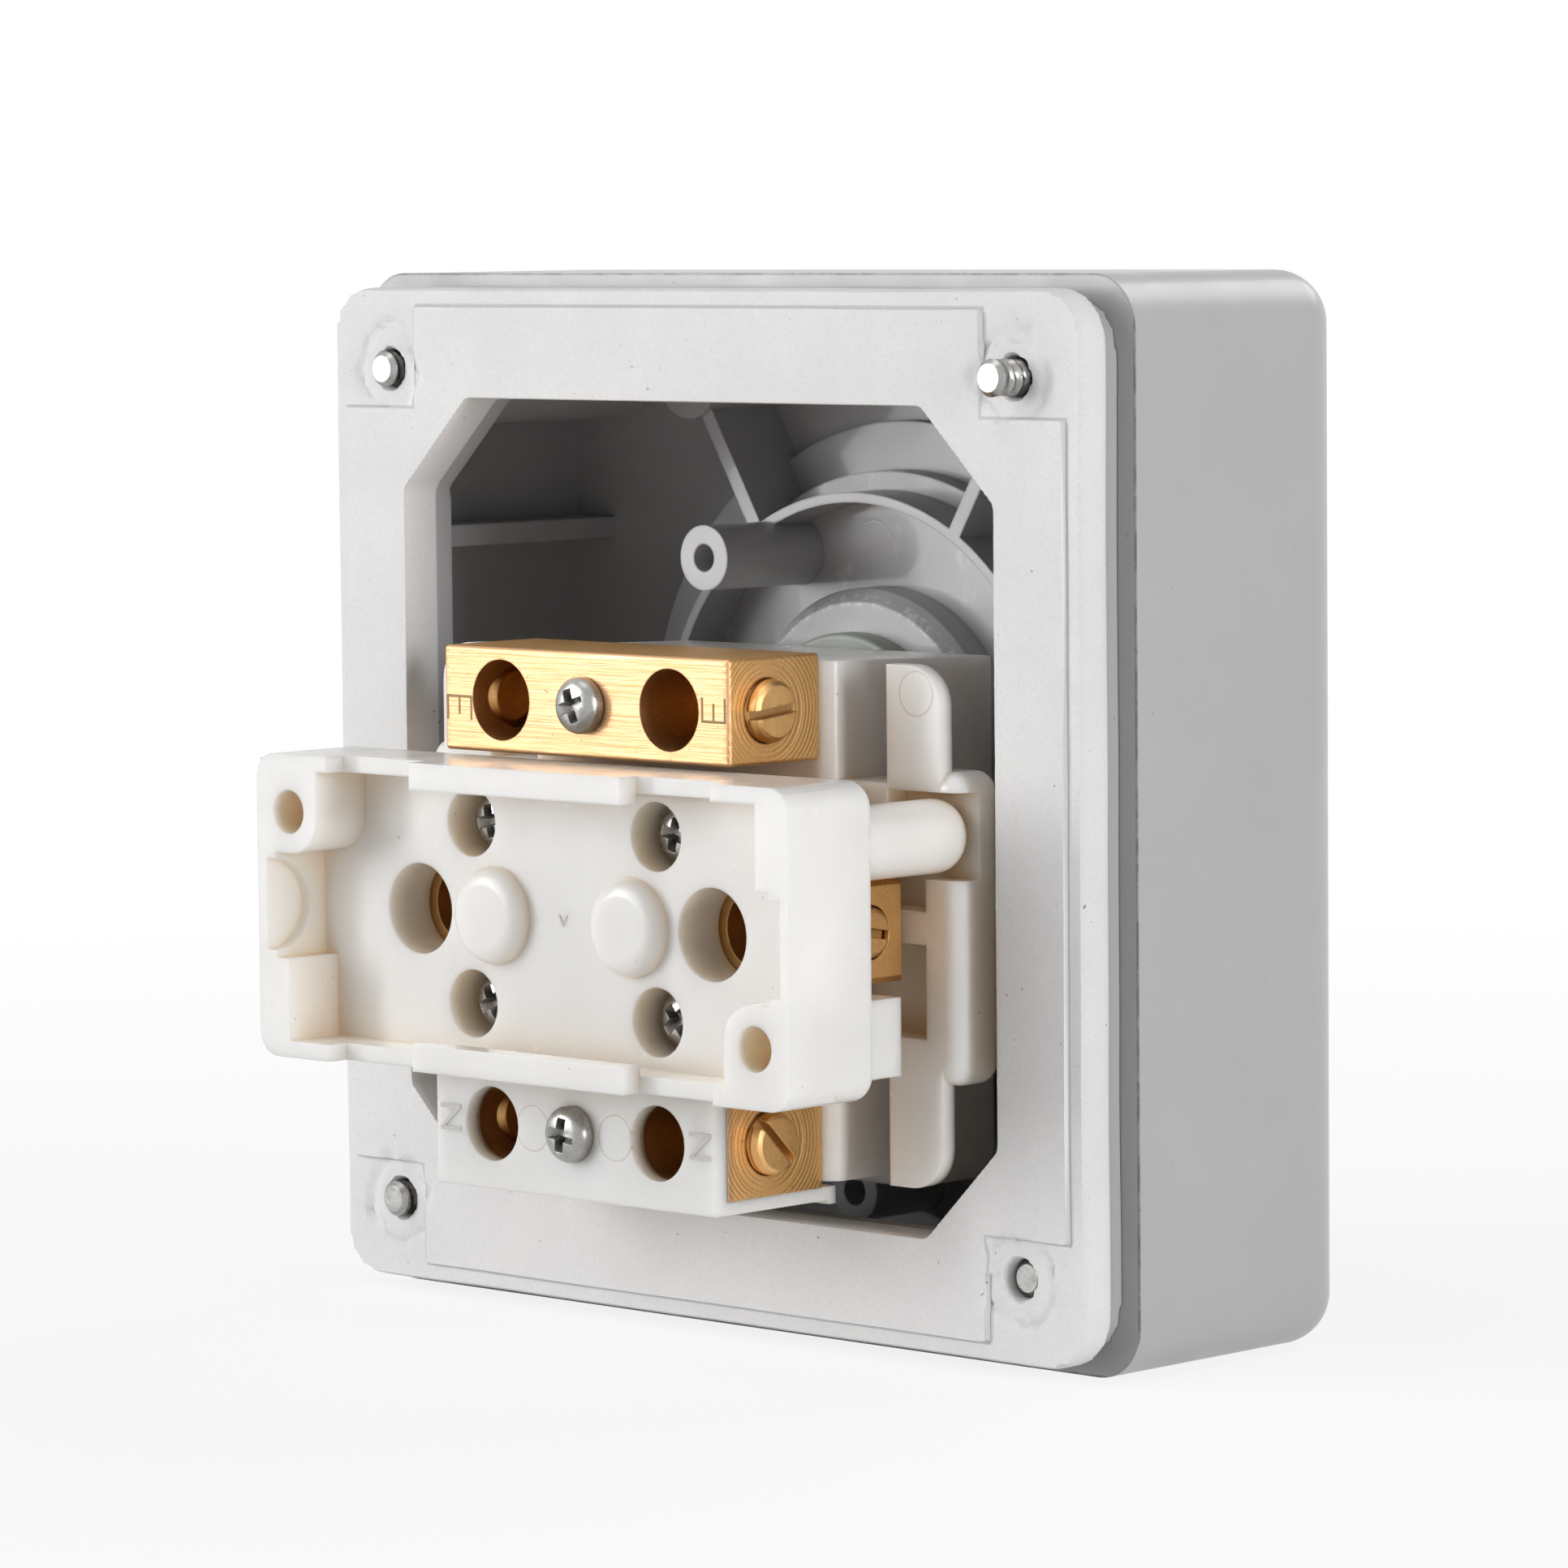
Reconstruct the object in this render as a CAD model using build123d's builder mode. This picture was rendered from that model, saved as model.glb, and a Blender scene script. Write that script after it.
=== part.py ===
from build123d import *
import math
import os

os.makedirs("parts", exist_ok=True)

# Clearances
run_gap = 0.08
move_gap = 0.3
screw_gap = 0.2
snug = 0.05

# Housing: the wall is at Y = 0, the handle faces -Y and +Z is up
case_size = 101.0
case_depth = 30.2
case_corner = 5.0
case_edge = 4.6
wall = 3.0
panel = 4.4
gasket_depth = 6.6
opening_side = 11.6
opening_end = 12.1
opening_w = case_size - 2 * opening_side
opening_h = case_size - 2 * opening_end
opening_chamfer = 9.0
gasket_inset = 1.2
gasket_step = 1.9
gasket_raise = 0.5
gasket_base = 2.2
gasket_base_inset = 0.8
gasket_notch = 10.0
gasket_notch_r = 2.0
rim = -gasket_depth
front = rim - case_depth
panel_in = front + panel
inside = case_size - 2 * wall

# Corner screws that go on into the wall box
screw_inset = 9.3
screw_pitch = case_size - 2 * screw_inset
screw_r = 1.75
screw_length = 32.0
screw_head_r = 3.2
screw_head_h = 2.4
column_r = 5.8
tip_high = 2.9
tip_mid = 0.6
tip_low = -1.6
screw_seat = tip_high - screw_length

# Height of the terminals' middle, and the shaft axis and round zone above it
mech_low = 28.9
mech_z = mech_low - opening_h / 2
shaft_rise = 12.5
shaft_z = mech_z + shaft_rise
dial_r = 30.0
zone_r = 32.8
zone_floor = 2.6
zone_depth = 21.7
zone_in = rim - zone_depth
dial_floor = zone_in - zone_floor
ring_r = 25.1
ring_w = 1.0
ring_depth = 16.6
ring_rear = rim - ring_depth
hub_r = 16.7
hub_depth = 17.3
hub_rear = rim - hub_depth
hub_chamfer = 1.3
relief_r = 28.0
relief_angle = 61.0
relief_wall = 1.6
wedge_z = case_size
wedge_x = (wedge_z - shaft_z) * math.tan(math.radians(relief_angle / 2))
post_x = 11.9
post_rise = 19.75
post_z = shaft_z + post_rise
post_r = 3.2
post_hole_r = 1.35
post_hole_depth = 10.0
post_depth = 8.0
post_rear = rim - post_depth
upper_post_r = 4.0
upper_hole_r = 1.8
upper_hole_depth = 7.0
upper_post_inset = 7.62
upper_post_at = (inside / 2 - upper_post_inset - shaft_z) / math.cos(math.radians(relief_angle / 2))
upper_post_depth = 16.0
upper_post_rear = rim - upper_post_depth
low_post_r = 3.0
low_hole_r = 1.4
low_post_inset = 8.3
low_post_z = low_post_inset - inside / 2
gusset_w = 1.6
side_rib_z = 24.3
side_rib_w = 2.2
side_rib_reach = 5.5
side_rib_depth = 2.0
side_rib_rear = rim - side_rib_depth

# Shaft, rotor and blade
shaft_r = 7.5
flange_r = 12.5
flange_depth = 14.7
flange_rear = rim - flange_depth
square = 8.4
square_depth = 10.0
square_rear = rim - square_depth
seal_wire_r = 0.9
seal_depth = 22.6
seal_at = rim - seal_depth
rotor_r = 7.8
neck_r = 7.2
pin_r = 2.5
blade_r = 8.4
blade_w = 5.0
blade_t = 1.6
blade_depth = 6.0
blade_at = rim - blade_depth
small_screw_r = 1.45
small_head_r = 2.7
small_head_h = 1.9
seal_ring_r = 6.55
handle_seat_depth = 17.0
handle_screw_seat = rim - handle_seat_depth
socket_depth = 2.2
handle_hole_depth = 8.0
handle_screw_end = 7.0
pin_length = 4.5
pin_bore = 5.0

# Handle on the front
handle_r = 25.0
handle_front = front + 0.4
grip_length = 44.0
grip_w = 13.0
grip_h = 12.0
handle_edge = 1.5
grip_edge = 1.8

# Switch body: the frame fills the gasket's opening, and the bars lie above and below the cover
frame_gap = 3.5
frame_w = opening_w - 2 * frame_gap
frame_h = 29.0
frame_out = 7.2
frame_rear = rim + frame_out
frame_start = 1.2
frame_front = rim + frame_start
frame_edge = 2.0
cover_lap = 0.1
cover_h = frame_h + 2 * cover_lap
bar_h = 9.95
bar_space = 0.475
bar_gap = (cover_h + bar_h) / 2 + bar_space
side_w = 15.4
block_w = frame_w - 2 * side_w
block_out = 8.2
block_rear = rim + block_out
block_depth = 14.2
block_front = rim - block_depth
block_over = 4.25
block_under = 4.35
block_top = mech_z + bar_gap + block_over
block_bottom = mech_z - bar_gap - block_under
foot_drop = 1.7
foot_bottom = block_bottom - foot_drop
foot_depth = 3.0
foot_rear = rim - foot_depth
draft_drop = 0.7
block_wall = 3.0
plate_t = 1.5
rotor_depth = 2.0
rotor_rear = rim - rotor_depth
chamber_r = blade_r + 2 * move_gap
ear_inset = 9.1
ear_x = frame_w / 2 - ear_inset
waist_w = 2 * ear_x - 0.2
waist_step = 1.3
waist_h = frame_h - 2 * waist_step
pocket_x = block_w / 2 + 0.3
pocket_end = 4.4
pocket_w = frame_w / 2 - pocket_end - pocket_x
pocket_h = 8.8
pocket_floor = frame_front + 2.0
midbar_h = 3.0
fix_post_r = 3.0
fix_x = block_w / 2 + fix_post_r + 0.2
fix_z = 7.4
fix_depth = 14.0
fix_length = 13.0
ear_w = 6.6
ear_t = 1.7
ear_over = 4.15
ear_top = bar_gap + ear_over
ear_corner = 3.8
peg_z = 8.6
notch_h = 8.1
notch_out = 4.6
notch_floor = rim + notch_out
ear_space = 0.15
ear_low = peg_z + notch_h / 2 + ear_space

# Terminals, bars and the cover over them
cover_gap = 0.15
cover_w = frame_w - 2 * cover_gap
term_inset = 5.85
term_end = cover_w / 2 - term_inset
wire_inset = 10.0
wire_x = term_end - wire_inset
wire_r = 3.5
term_back = 7.4
term_start = wire_x - term_back
term_floor = 1.2
term_edge = 0.6
term_h = 9.65
term_out = 17.9
term_rear = rim + term_out
bar_floor = 1.5
bar_edge = 0.4
clamp_reach = 0.5
earth_w = 37.7
earth_out = 20.4
earth_rear = rim + earth_out
earth_wire_x = 11.15
earth_wire_r = 3.85
neutral_w = 37.0
neutral_out = 20.8
neutral_rear = rim + neutral_out
neutral_wire_x = 11.0
neutral_wire_r = 3.55
carrier_t = 1.6
carrier_floor = 1.25
bar_clamp_r = 3.0
bar_clamp_out = 1.5
bar_clamp_rise = 15.35
bar_clamp_y = rim + bar_clamp_rise
contact_t = 1.2
contact_h = 5.0
contact_x = blade_r + 0.4
contact_lap = 4.0
contact_foot = term_start + contact_lap
contact_front = blade_at - 2.5
contact_rise = 1.0
contact_bend = rim + contact_rise
term_clamp_r = 2.5
term_clamp_out = 0.6
term_clamp_rise = 13.0
term_clamp_y = rim + term_clamp_rise
screw_stop = 1.5
screw_end = rim + screw_stop
carrier_out = 6.3
carrier_end = rim + carrier_out
cover_out = 29.8
cover_rear = rim + cover_out
skirt_out = 18.4
cover_front = rim + skirt_out
tray_out = 23.4
cover_floor = rim + tray_out
cover_floor_t = 2.4
cover_corner = 2.5
cover_end_wall = 2.5
cover_long_wall = 1.6
funnel_r = 4.35
well_inset = 7.15
well_x = wire_x - well_inset
well_z = 8.6
well_r = 3.25
well_out = 19.2
well_seat = rim + well_out
pillar_r = 3.4
dome_middle = 4.45
dome_space = 1.3
dome_r = (wire_x - funnel_r - dome_space - dome_middle) / 2
dome_x = dome_middle + dome_r
dome_h = 1.8
hole_inset = 4.45
hole_x = cover_w / 2 - hole_inset
hole_z = 9.05
hole_r = 2.1
boss_w = 8.8
boss_h = 10.0
leg_w = 7.2
leg_out = 14.3
leg_front = rim + leg_out
peg_inset = 3.5
peg_x = cover_w / 2 - peg_inset
peg_r = 3.45
lip_w = 28.0
lip_gap = 11.5
lip_drop = 2.2
lip_t = 2.0
leg_edge = 2.4
boss_corner = 3.5
relief_skin = 1.2
pad_t = 1.7
relief_pad_r = 4.4


def at(y):
    return Plane.XZ.offset(-y)


# Front housing: shell first, then screw columns
with BuildPart() as front_housing:
    with BuildSketch(at(rim)):
        RectangleRounded(case_size, case_size, case_corner)
    extrude(amount=case_depth)
    fillet(front_housing.faces().sort_by(Axis.Y)[0].edges(), case_edge)
    with BuildSketch(at(rim)):
        RectangleRounded(inside, inside, case_corner - wall)
    extrude(amount=case_depth - panel, mode=Mode.SUBTRACT)
    with BuildSketch(at(rim)):
        with GridLocations(screw_pitch, screw_pitch, 2, 2):
            Circle(column_r)
        corner_block = (inside - screw_pitch) / 2 + 1
        with GridLocations(inside - corner_block + 2, inside - corner_block + 2, 2, 2):
            Rectangle(corner_block, corner_block)
    extrude(amount=case_depth - panel)
    # Raised round zone with its ring, hub and posts
    with BuildSketch(at(zone_in)):
        with Locations((0, shaft_z)):
            Circle(zone_r)
    extrude(amount=zone_in - panel_in)
    with BuildSketch(at(ring_rear)):
        with Locations((0, shaft_z)):
            Circle(ring_r + ring_w)
            Circle(ring_r, mode=Mode.SUBTRACT)
    extrude(amount=ring_rear - zone_in)
    with BuildSketch(at(hub_rear)):
        with Locations((0, shaft_z)):
            Circle(hub_r)
    extrude(amount=hub_rear - zone_in)
    hub_edges = front_housing.edges().filter_by(GeomType.CIRCLE)
    chamfer(hub_edges.filter_by(lambda e: abs(e.radius - hub_r) < 0.01).sort_by(Axis.Y)[-1], hub_chamfer)
    # Arc-shaped relief at the top of the round zone
    with BuildSketch(at(zone_in)):
        with Locations((0, shaft_z)):
            Circle(zone_r + 1)
            Circle(relief_r, mode=Mode.SUBTRACT)
        Polygon((0, shaft_z), (wedge_x, wedge_z), (-wedge_x, wedge_z), align=None, mode=Mode.INTERSECT)
    extrude(amount=zone_floor, mode=Mode.SUBTRACT)
    with BuildSketch(at(upper_post_rear)):
        with Locations((0, shaft_z)):
            with PolarLocations(upper_post_at, 2, 90 - relief_angle / 2, relief_angle, endpoint=True):
                Circle(upper_post_r)
    extrude(amount=upper_post_rear - panel_in)
    with BuildSketch(at(ring_rear)):
        with Locations((0, shaft_z)):
            rib_middle = (ring_r + upper_post_at) / 2
            with PolarLocations(rib_middle, 2, 90 - relief_angle / 2, relief_angle, endpoint=True):
                Rectangle(upper_post_at - ring_r - 1, gusset_w)
    extrude(amount=ring_rear - panel_in)
    with BuildSketch(at(upper_post_rear)):
        with Locations((0, low_post_z)):
            Circle(low_post_r)
    extrude(amount=upper_post_rear - panel_in)
    with BuildSketch(at(post_rear)):
        with Locations((post_x, post_z)):
            Circle(post_r)
    extrude(amount=post_rear - zone_in)
    # Bosses that the switch body is screwed to
    with BuildSketch(at(frame_front)):
        with Locations((-fix_x, mech_z + fix_z), (fix_x, mech_z - fix_z)):
            Circle(fix_post_r)
    extrude(amount=frame_front - panel_in)
    # Ribs on the two side walls
    with BuildSketch(at(side_rib_rear)):
        with Locations((0, side_rib_z)):
            Rectangle(inside + 1, side_rib_w)
            Rectangle(inside - 2 * side_rib_reach, side_rib_w, mode=Mode.SUBTRACT)
    extrude(amount=side_rib_rear - panel_in)
    # Round recess for the handle, with the raised arc on its floor
    with BuildSketch(at(front)):
        with Locations((0, shaft_z)):
            Circle(dial_r)
    extrude(amount=front - dial_floor, mode=Mode.SUBTRACT)
    with BuildSketch(at(dial_floor)):
        with Locations((0, shaft_z)):
            Circle(dial_r + 0.5)
            Circle(relief_r - relief_wall, mode=Mode.SUBTRACT)
        Polygon((0, shaft_z), (wedge_x, wedge_z), (-wedge_x, wedge_z), align=None, mode=Mode.INTERSECT)
    extrude(amount=zone_floor)
    # Holes: shaft bearing, corner screws and post screws
    with BuildSketch(at(hub_rear)):
        with Locations((0, shaft_z)):
            Circle(shaft_r + run_gap)
    extrude(amount=hub_rear - dial_floor, mode=Mode.SUBTRACT)
    with BuildSketch(at(rim)):
        with GridLocations(screw_pitch, screw_pitch, 2, 2):
            Circle(screw_r + screw_gap)
    extrude(amount=case_depth, mode=Mode.SUBTRACT)
    with BuildSketch(at(screw_seat)):
        with GridLocations(screw_pitch, screw_pitch, 2, 2):
            Circle(screw_head_r + 2 * screw_gap)
    extrude(amount=screw_seat - front, mode=Mode.SUBTRACT)
    with BuildSketch(at(post_rear)):
        with Locations((post_x, post_z)):
            Circle(post_hole_r)
    extrude(amount=post_hole_depth, mode=Mode.SUBTRACT)
    with BuildSketch(at(upper_post_rear)):
        with Locations((0, shaft_z)):
            with PolarLocations(upper_post_at, 2, 90 - relief_angle / 2, relief_angle, endpoint=True):
                Circle(upper_hole_r)
        with Locations((0, low_post_z)):
            Circle(low_hole_r)
    extrude(amount=upper_hole_depth, mode=Mode.SUBTRACT)
    with BuildSketch(at(frame_front)):
        with Locations((-fix_x, mech_z + fix_z), (fix_x, mech_z - fix_z)):
            Circle(small_screw_r + snug)
    extrude(amount=fix_depth, mode=Mode.SUBTRACT)
front_housing.part.label = "front_housing"
export_step(front_housing.part, "parts/front_housing.step")

# Foam gasket: thin lower layer, wider flange, raised face with corner notches
flange_w = case_size - 2 * gasket_inset
face_w = flange_w - 2 * gasket_step
with BuildPart() as rear_gasket:
    with BuildSketch(at(0)):
        Rectangle(face_w, face_w)
        with GridLocations(face_w, face_w, 2, 2):
            RectangleRounded(2 * gasket_notch, 2 * gasket_notch, gasket_notch_r, mode=Mode.SUBTRACT)
    extrude(amount=gasket_raise)
    with BuildSketch(at(-gasket_raise)):
        RectangleRounded(flange_w, flange_w, case_corner)
    extrude(amount=gasket_depth - gasket_base - gasket_raise)
    with BuildSketch(at(rim + gasket_base)):
        base_w = flange_w - 2 * gasket_base_inset
        RectangleRounded(base_w, base_w, case_corner)
    extrude(amount=gasket_base)
    with BuildSketch(at(0)):
        Rectangle(opening_w, opening_h)
        chamfer(vertices(), opening_chamfer)
    extrude(amount=gasket_depth, mode=Mode.SUBTRACT)
    with BuildSketch(at(0)):
        with GridLocations(screw_pitch, screw_pitch, 2, 2):
            Circle(screw_r + screw_gap)
    extrude(amount=gasket_depth, mode=Mode.SUBTRACT)
rear_gasket.part.label = "rear_gasket"
export_step(rear_gasket.part, "parts/rear_gasket.step")

# Corner screws, turned in by different amounts as in the photo
with BuildPart() as cover_screws:
    for side_x, side_z, tip in ((-1, 1, tip_high), (1, 1, tip_mid), (1, -1, tip_mid), (-1, -1, tip_low)):
        with BuildSketch(at(tip)):
            with Locations((side_x * screw_pitch / 2, side_z * screw_pitch / 2)):
                Circle(screw_r)
        extrude(amount=screw_length)
        with BuildSketch(at(tip - screw_length)):
            with Locations((side_x * screw_pitch / 2, side_z * screw_pitch / 2)):
                Circle(screw_head_r)
        extrude(amount=screw_head_h)
cover_screws.part.label = "cover_screws"
export_step(cover_screws.part, "parts/cover_screws.step")

# Switch body: block, side frame with pockets, four ears
with BuildPart() as switch_body:
    with BuildSketch(Plane.YZ):
        Polygon((block_rear, block_top), (block_front, block_top - draft_drop), (block_front, foot_bottom),
                (foot_rear, foot_bottom), (foot_rear, block_bottom), (block_rear, block_bottom), align=None)
    extrude(amount=block_w / 2, both=True)
    fillet(switch_body.faces().sort_by(Axis.Y)[-1].edges().filter_by(Axis.Z), frame_edge)
    with BuildSketch(at(frame_rear)):
        with Locations((0, mech_z)):
            RectangleRounded(frame_w, frame_h, frame_edge)
            Rectangle(waist_w, frame_h, mode=Mode.SUBTRACT)
            Rectangle(waist_w + 1, waist_h)
    extrude(amount=frame_rear - frame_front)
    frame_edges = switch_body.faces().filter_by(Axis.X).sort_by(Axis.X)
    upright = frame_edges[0].edges().filter_by(Axis.Z) + frame_edges[-1].edges().filter_by(Axis.Z)
    fillet(upright, frame_edge - 0.1)
    with BuildSketch(at(frame_rear)):
        with Locations((0, mech_z)):
            with GridLocations(2 * pocket_x + pocket_w, pocket_h + midbar_h, 2, 2):
                Rectangle(pocket_w, pocket_h)
    extrude(amount=frame_rear - pocket_floor, mode=Mode.SUBTRACT)
    with BuildSketch(at(frame_rear)):
        with Locations((-frame_w / 2, mech_z + peg_z), (frame_w / 2, mech_z - peg_z)):
            Rectangle(2 * (frame_w / 2 - ear_x), notch_h)
    extrude(amount=frame_rear - notch_floor, mode=Mode.SUBTRACT)
    with BuildSketch(at(frame_rear)):
        with Locations((0, mech_z)):
            RectangleRounded(2 * (ear_x + ear_w), 2 * ear_top, ear_corner)
            Rectangle(2 * ear_x, 2 * ear_top, mode=Mode.SUBTRACT)
            Rectangle(2 * (ear_x + ear_w), 2 * ear_low, mode=Mode.SUBTRACT)
    extrude(amount=ear_t)
    # Hollow for the mechanism, then the rotor's chamber, bearing and contact slots
    with BuildSketch(at(block_front)):
        cavity_h = shaft_z + chamber_r - block_bottom - block_wall + 0.5
        with Locations((0, shaft_z + chamber_r + 0.5)):
            Rectangle(block_w - 2 * block_wall + 1, cavity_h, align=(Align.CENTER, Align.MAX))
    extrude(amount=-plate_t, mode=Mode.SUBTRACT)
    with BuildSketch(at(block_front)):
        with Locations((0, shaft_z)):
            Circle(chamber_r)
    extrude(amount=block_front - rotor_rear - move_gap, mode=Mode.SUBTRACT)
    with BuildSketch(at(block_front)):
        with Locations((0, block_bottom + block_wall)):
            Rectangle(block_w - 2 * block_wall, mech_z - block_bottom - block_wall,
                      align=(Align.CENTER, Align.MIN))
    extrude(amount=block_front - rotor_rear - 4, mode=Mode.SUBTRACT)
    with BuildSketch(at(rotor_rear)):
        with Locations((0, shaft_z)):
            Circle(pin_r + run_gap)
    extrude(amount=-pin_bore, mode=Mode.SUBTRACT)
    for side in (-1, 1):
        with BuildSketch(Plane.YZ.offset(side * (contact_x - snug))):
            with Locations((contact_front - snug, mech_z - contact_h / 2 - snug)):
                Rectangle(contact_bend - contact_front + 2 * snug, shaft_z - mech_z + contact_h + 2 * snug,
                          align=Align.MIN)
            with Locations((contact_bend, mech_z)):
                Rectangle(block_rear - contact_bend, contact_h + 2 * snug, align=(Align.MIN, Align.CENTER))
        extrude(amount=side * (contact_t + 2 * snug), mode=Mode.SUBTRACT)
    with BuildSketch(at(block_rear)):
        with GridLocations(contact_x + contact_foot, 0, 2, 1):
            with Locations((0, mech_z)):
                Rectangle(contact_foot - contact_x + 2 * snug, contact_h + 2 * snug)
    extrude(amount=contact_t + snug, mode=Mode.SUBTRACT)
    # Screw holes
    with BuildSketch(at(block_rear)):
        with Locations((0, mech_z)):
            with GridLocations(2 * well_x, 2 * well_z, 2, 2):
                Circle(small_screw_r + snug)
            with GridLocations(0, 2 * bar_gap, 1, 2):
                Circle(small_screw_r + snug)
    extrude(amount=block_rear - screw_end + 0.3, mode=Mode.SUBTRACT)
    with BuildSketch(at(pocket_floor)):
        with Locations((-fix_x, mech_z + fix_z), (fix_x, mech_z - fix_z)):
            Circle(small_screw_r + screw_gap)
    extrude(amount=pocket_floor - frame_front, mode=Mode.SUBTRACT)
switch_body.part.label = "switch_body"
export_step(switch_body.part, "parts/switch_body.step")

# Plate that closes the block's front and carries the rotor's neck
with BuildPart() as switch_front_plate:
    with BuildSketch(at(block_front + plate_t)):
        plate_w = block_w - 2 * block_wall + 1 - 2 * snug
        with Locations((0, shaft_z + chamber_r + 0.5 - snug)):
            Rectangle(plate_w, cavity_h - 2 * snug, align=(Align.CENTER, Align.MAX))
        with Locations((0, shaft_z)):
            Circle(neck_r + run_gap, mode=Mode.SUBTRACT)
    extrude(amount=plate_t)
switch_front_plate.part.label = "switch_front_plate"
export_step(switch_front_plate.part, "parts/switch_front_plate.step")

# Screws that hold the block to the housing
with BuildPart() as body_fixing_screws:
    with BuildSketch(at(pocket_floor)):
        with Locations((-fix_x, mech_z + fix_z), (fix_x, mech_z - fix_z)):
            Circle(small_screw_r)
    extrude(amount=fix_length)
    with BuildSketch(at(pocket_floor + small_head_h)):
        with Locations((-fix_x, mech_z + fix_z), (fix_x, mech_z - fix_z)):
            Circle(small_head_r)
    extrude(amount=small_head_h)
body_fixing_screws.part.label = "body_fixing_screws"
export_step(body_fixing_screws.part, "parts/body_fixing_screws.step")

# Terminal cover: tray at the rear, hollow in front, pillars, legs and pegs
cover_under = cover_floor - cover_floor_t
with BuildPart() as terminal_cover:
    with BuildSketch(at(cover_rear)):
        with Locations((0, mech_z)):
            RectangleRounded(cover_w, cover_h, cover_corner)
    extrude(amount=cover_rear - cover_front)
    fillet(terminal_cover.faces().sort_by(Axis.Y)[0].edges(), cover_long_wall - 0.4)
    with BuildSketch(at(cover_rear)):
        with Locations((0, mech_z)):
            RectangleRounded(cover_w - 2 * cover_end_wall, cover_h - 2 * cover_long_wall, cover_corner - 1)
    extrude(amount=cover_rear - cover_floor, mode=Mode.SUBTRACT)
    with BuildSketch(at(cover_under)):
        with Locations((0, mech_z)):
            RectangleRounded(cover_w - 2 * cover_end_wall, cover_h - 2 * cover_long_wall, cover_corner - 1)
    extrude(amount=cover_under - cover_front, mode=Mode.SUBTRACT)
    # Corner bosses with holes at two corners, thick walls at the other two
    with BuildSketch(at(cover_rear)):
        boss_x = (cover_w - boss_w) / 2
        boss_z = (cover_h - boss_h) / 2
        with Locations((boss_x, mech_z + boss_z), (-boss_x, mech_z - boss_z)):
            Rectangle(boss_w - 1, boss_h - 1)
        fillet(vertices().sort_by_distance((0, mech_z, 0))[0:2], boss_corner)
    extrude(amount=cover_rear - cover_floor)
    with BuildSketch(at(cover_rear)):
        pad_x = cover_w / 2 - cover_end_wall
        with Locations((-pad_x, mech_z + boss_z), (pad_x, mech_z - boss_z)):
            Rectangle(2 * pad_t, boss_h - 1)
    extrude(amount=cover_rear - cover_floor)
    with BuildSketch(at(cover_under)):
        with Locations((hole_x, mech_z + hole_z), (-hole_x, mech_z - hole_z)):
            Rectangle(leg_w, leg_w)
    extrude(amount=cover_under - leg_front)
    with BuildSketch(at(cover_under)):
        with Locations((-peg_x, mech_z + peg_z), (peg_x, mech_z - peg_z)):
            Circle(peg_r)
    extrude(amount=cover_under - notch_floor - snug)
    fillet(terminal_cover.faces().sort_by(Axis.Y)[0:2].edges(), leg_edge)
    # Lips and recesses on the two long walls, thumb reliefs in the end walls
    with BuildSketch(at(cover_rear)):
        with Locations((0, mech_z)):
            with GridLocations(0, cover_h - 2 * cover_long_wall, 1, 2):
                Rectangle(lip_w, lip_t)
    extrude(amount=lip_drop)
    with BuildSketch(at(cover_rear)):
        with Locations((0, mech_z)):
            with GridLocations(lip_w + lip_gap, cover_h, 2, 2):
                Rectangle(lip_gap, 2 * cover_long_wall + 0.2)
    extrude(amount=lip_drop, mode=Mode.SUBTRACT)
    for side in (-1, 1):
        with BuildSketch(Plane.YZ.offset(side * (cover_w / 2 - cover_end_wall))):
            with Locations((cover_rear, mech_z)):
                Circle(relief_pad_r)
        extrude(amount=side * (cover_end_wall - relief_skin), mode=Mode.SUBTRACT)
    # Wire funnels, screw wells with their pillars, and domes
    with BuildSketch(at(cover_under)):
        with Locations((0, mech_z)):
            with GridLocations(2 * wire_x, 0, 2, 1):
                Circle(funnel_r + 1.1)
    extrude(amount=cover_under - term_rear - screw_gap)
    with BuildSketch(at(cover_under)):
        with Locations((0, mech_z)):
            with GridLocations(2 * well_x, 2 * well_z, 2, 2):
                Circle(well_r + 1)
    extrude(amount=cover_under - well_seat + 1)
    with BuildSketch(at(well_seat)):
        with Locations((0, mech_z)):
            with GridLocations(2 * well_x, 2 * well_z, 2, 2):
                Circle(pillar_r)
    extrude(amount=well_seat - block_rear)
    with BuildSketch(at(cover_floor + dome_h)):
        with Locations((0, mech_z)):
            with GridLocations(2 * dome_x, 0, 2, 1):
                Circle(dome_r)
    extrude(amount=dome_h)
    dome_edges = terminal_cover.edges().filter_by(GeomType.CIRCLE)
    dome_edges = dome_edges.filter_by(lambda e: abs(e.radius - dome_r) < 0.01)
    fillet(dome_edges.filter_by_position(Axis.Y, cover_floor + dome_h - 0.1, cover_rear), dome_h - 0.2)
    with BuildSketch(at(cover_floor)):
        with Locations((0, mech_z)):
            with GridLocations(2 * wire_x, 0, 2, 1):
                Circle(funnel_r)
    extrude(amount=cover_floor - term_rear, mode=Mode.SUBTRACT)
    with BuildSketch(at(cover_floor)):
        with Locations((0, mech_z)):
            with GridLocations(2 * well_x, 2 * well_z, 2, 2):
                Circle(well_r)
    extrude(amount=cover_floor - well_seat, mode=Mode.SUBTRACT)
    with BuildSketch(at(well_seat)):
        with Locations((0, mech_z)):
            with GridLocations(2 * well_x, 2 * well_z, 2, 2):
                Circle(small_screw_r + screw_gap)
    extrude(amount=well_seat - block_rear, mode=Mode.SUBTRACT)
    with BuildSketch(at(cover_rear)):
        with Locations((hole_x, mech_z + hole_z), (-hole_x, mech_z - hole_z)):
            Circle(hole_r)
    extrude(amount=cover_rear - leg_front, mode=Mode.SUBTRACT)
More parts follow.
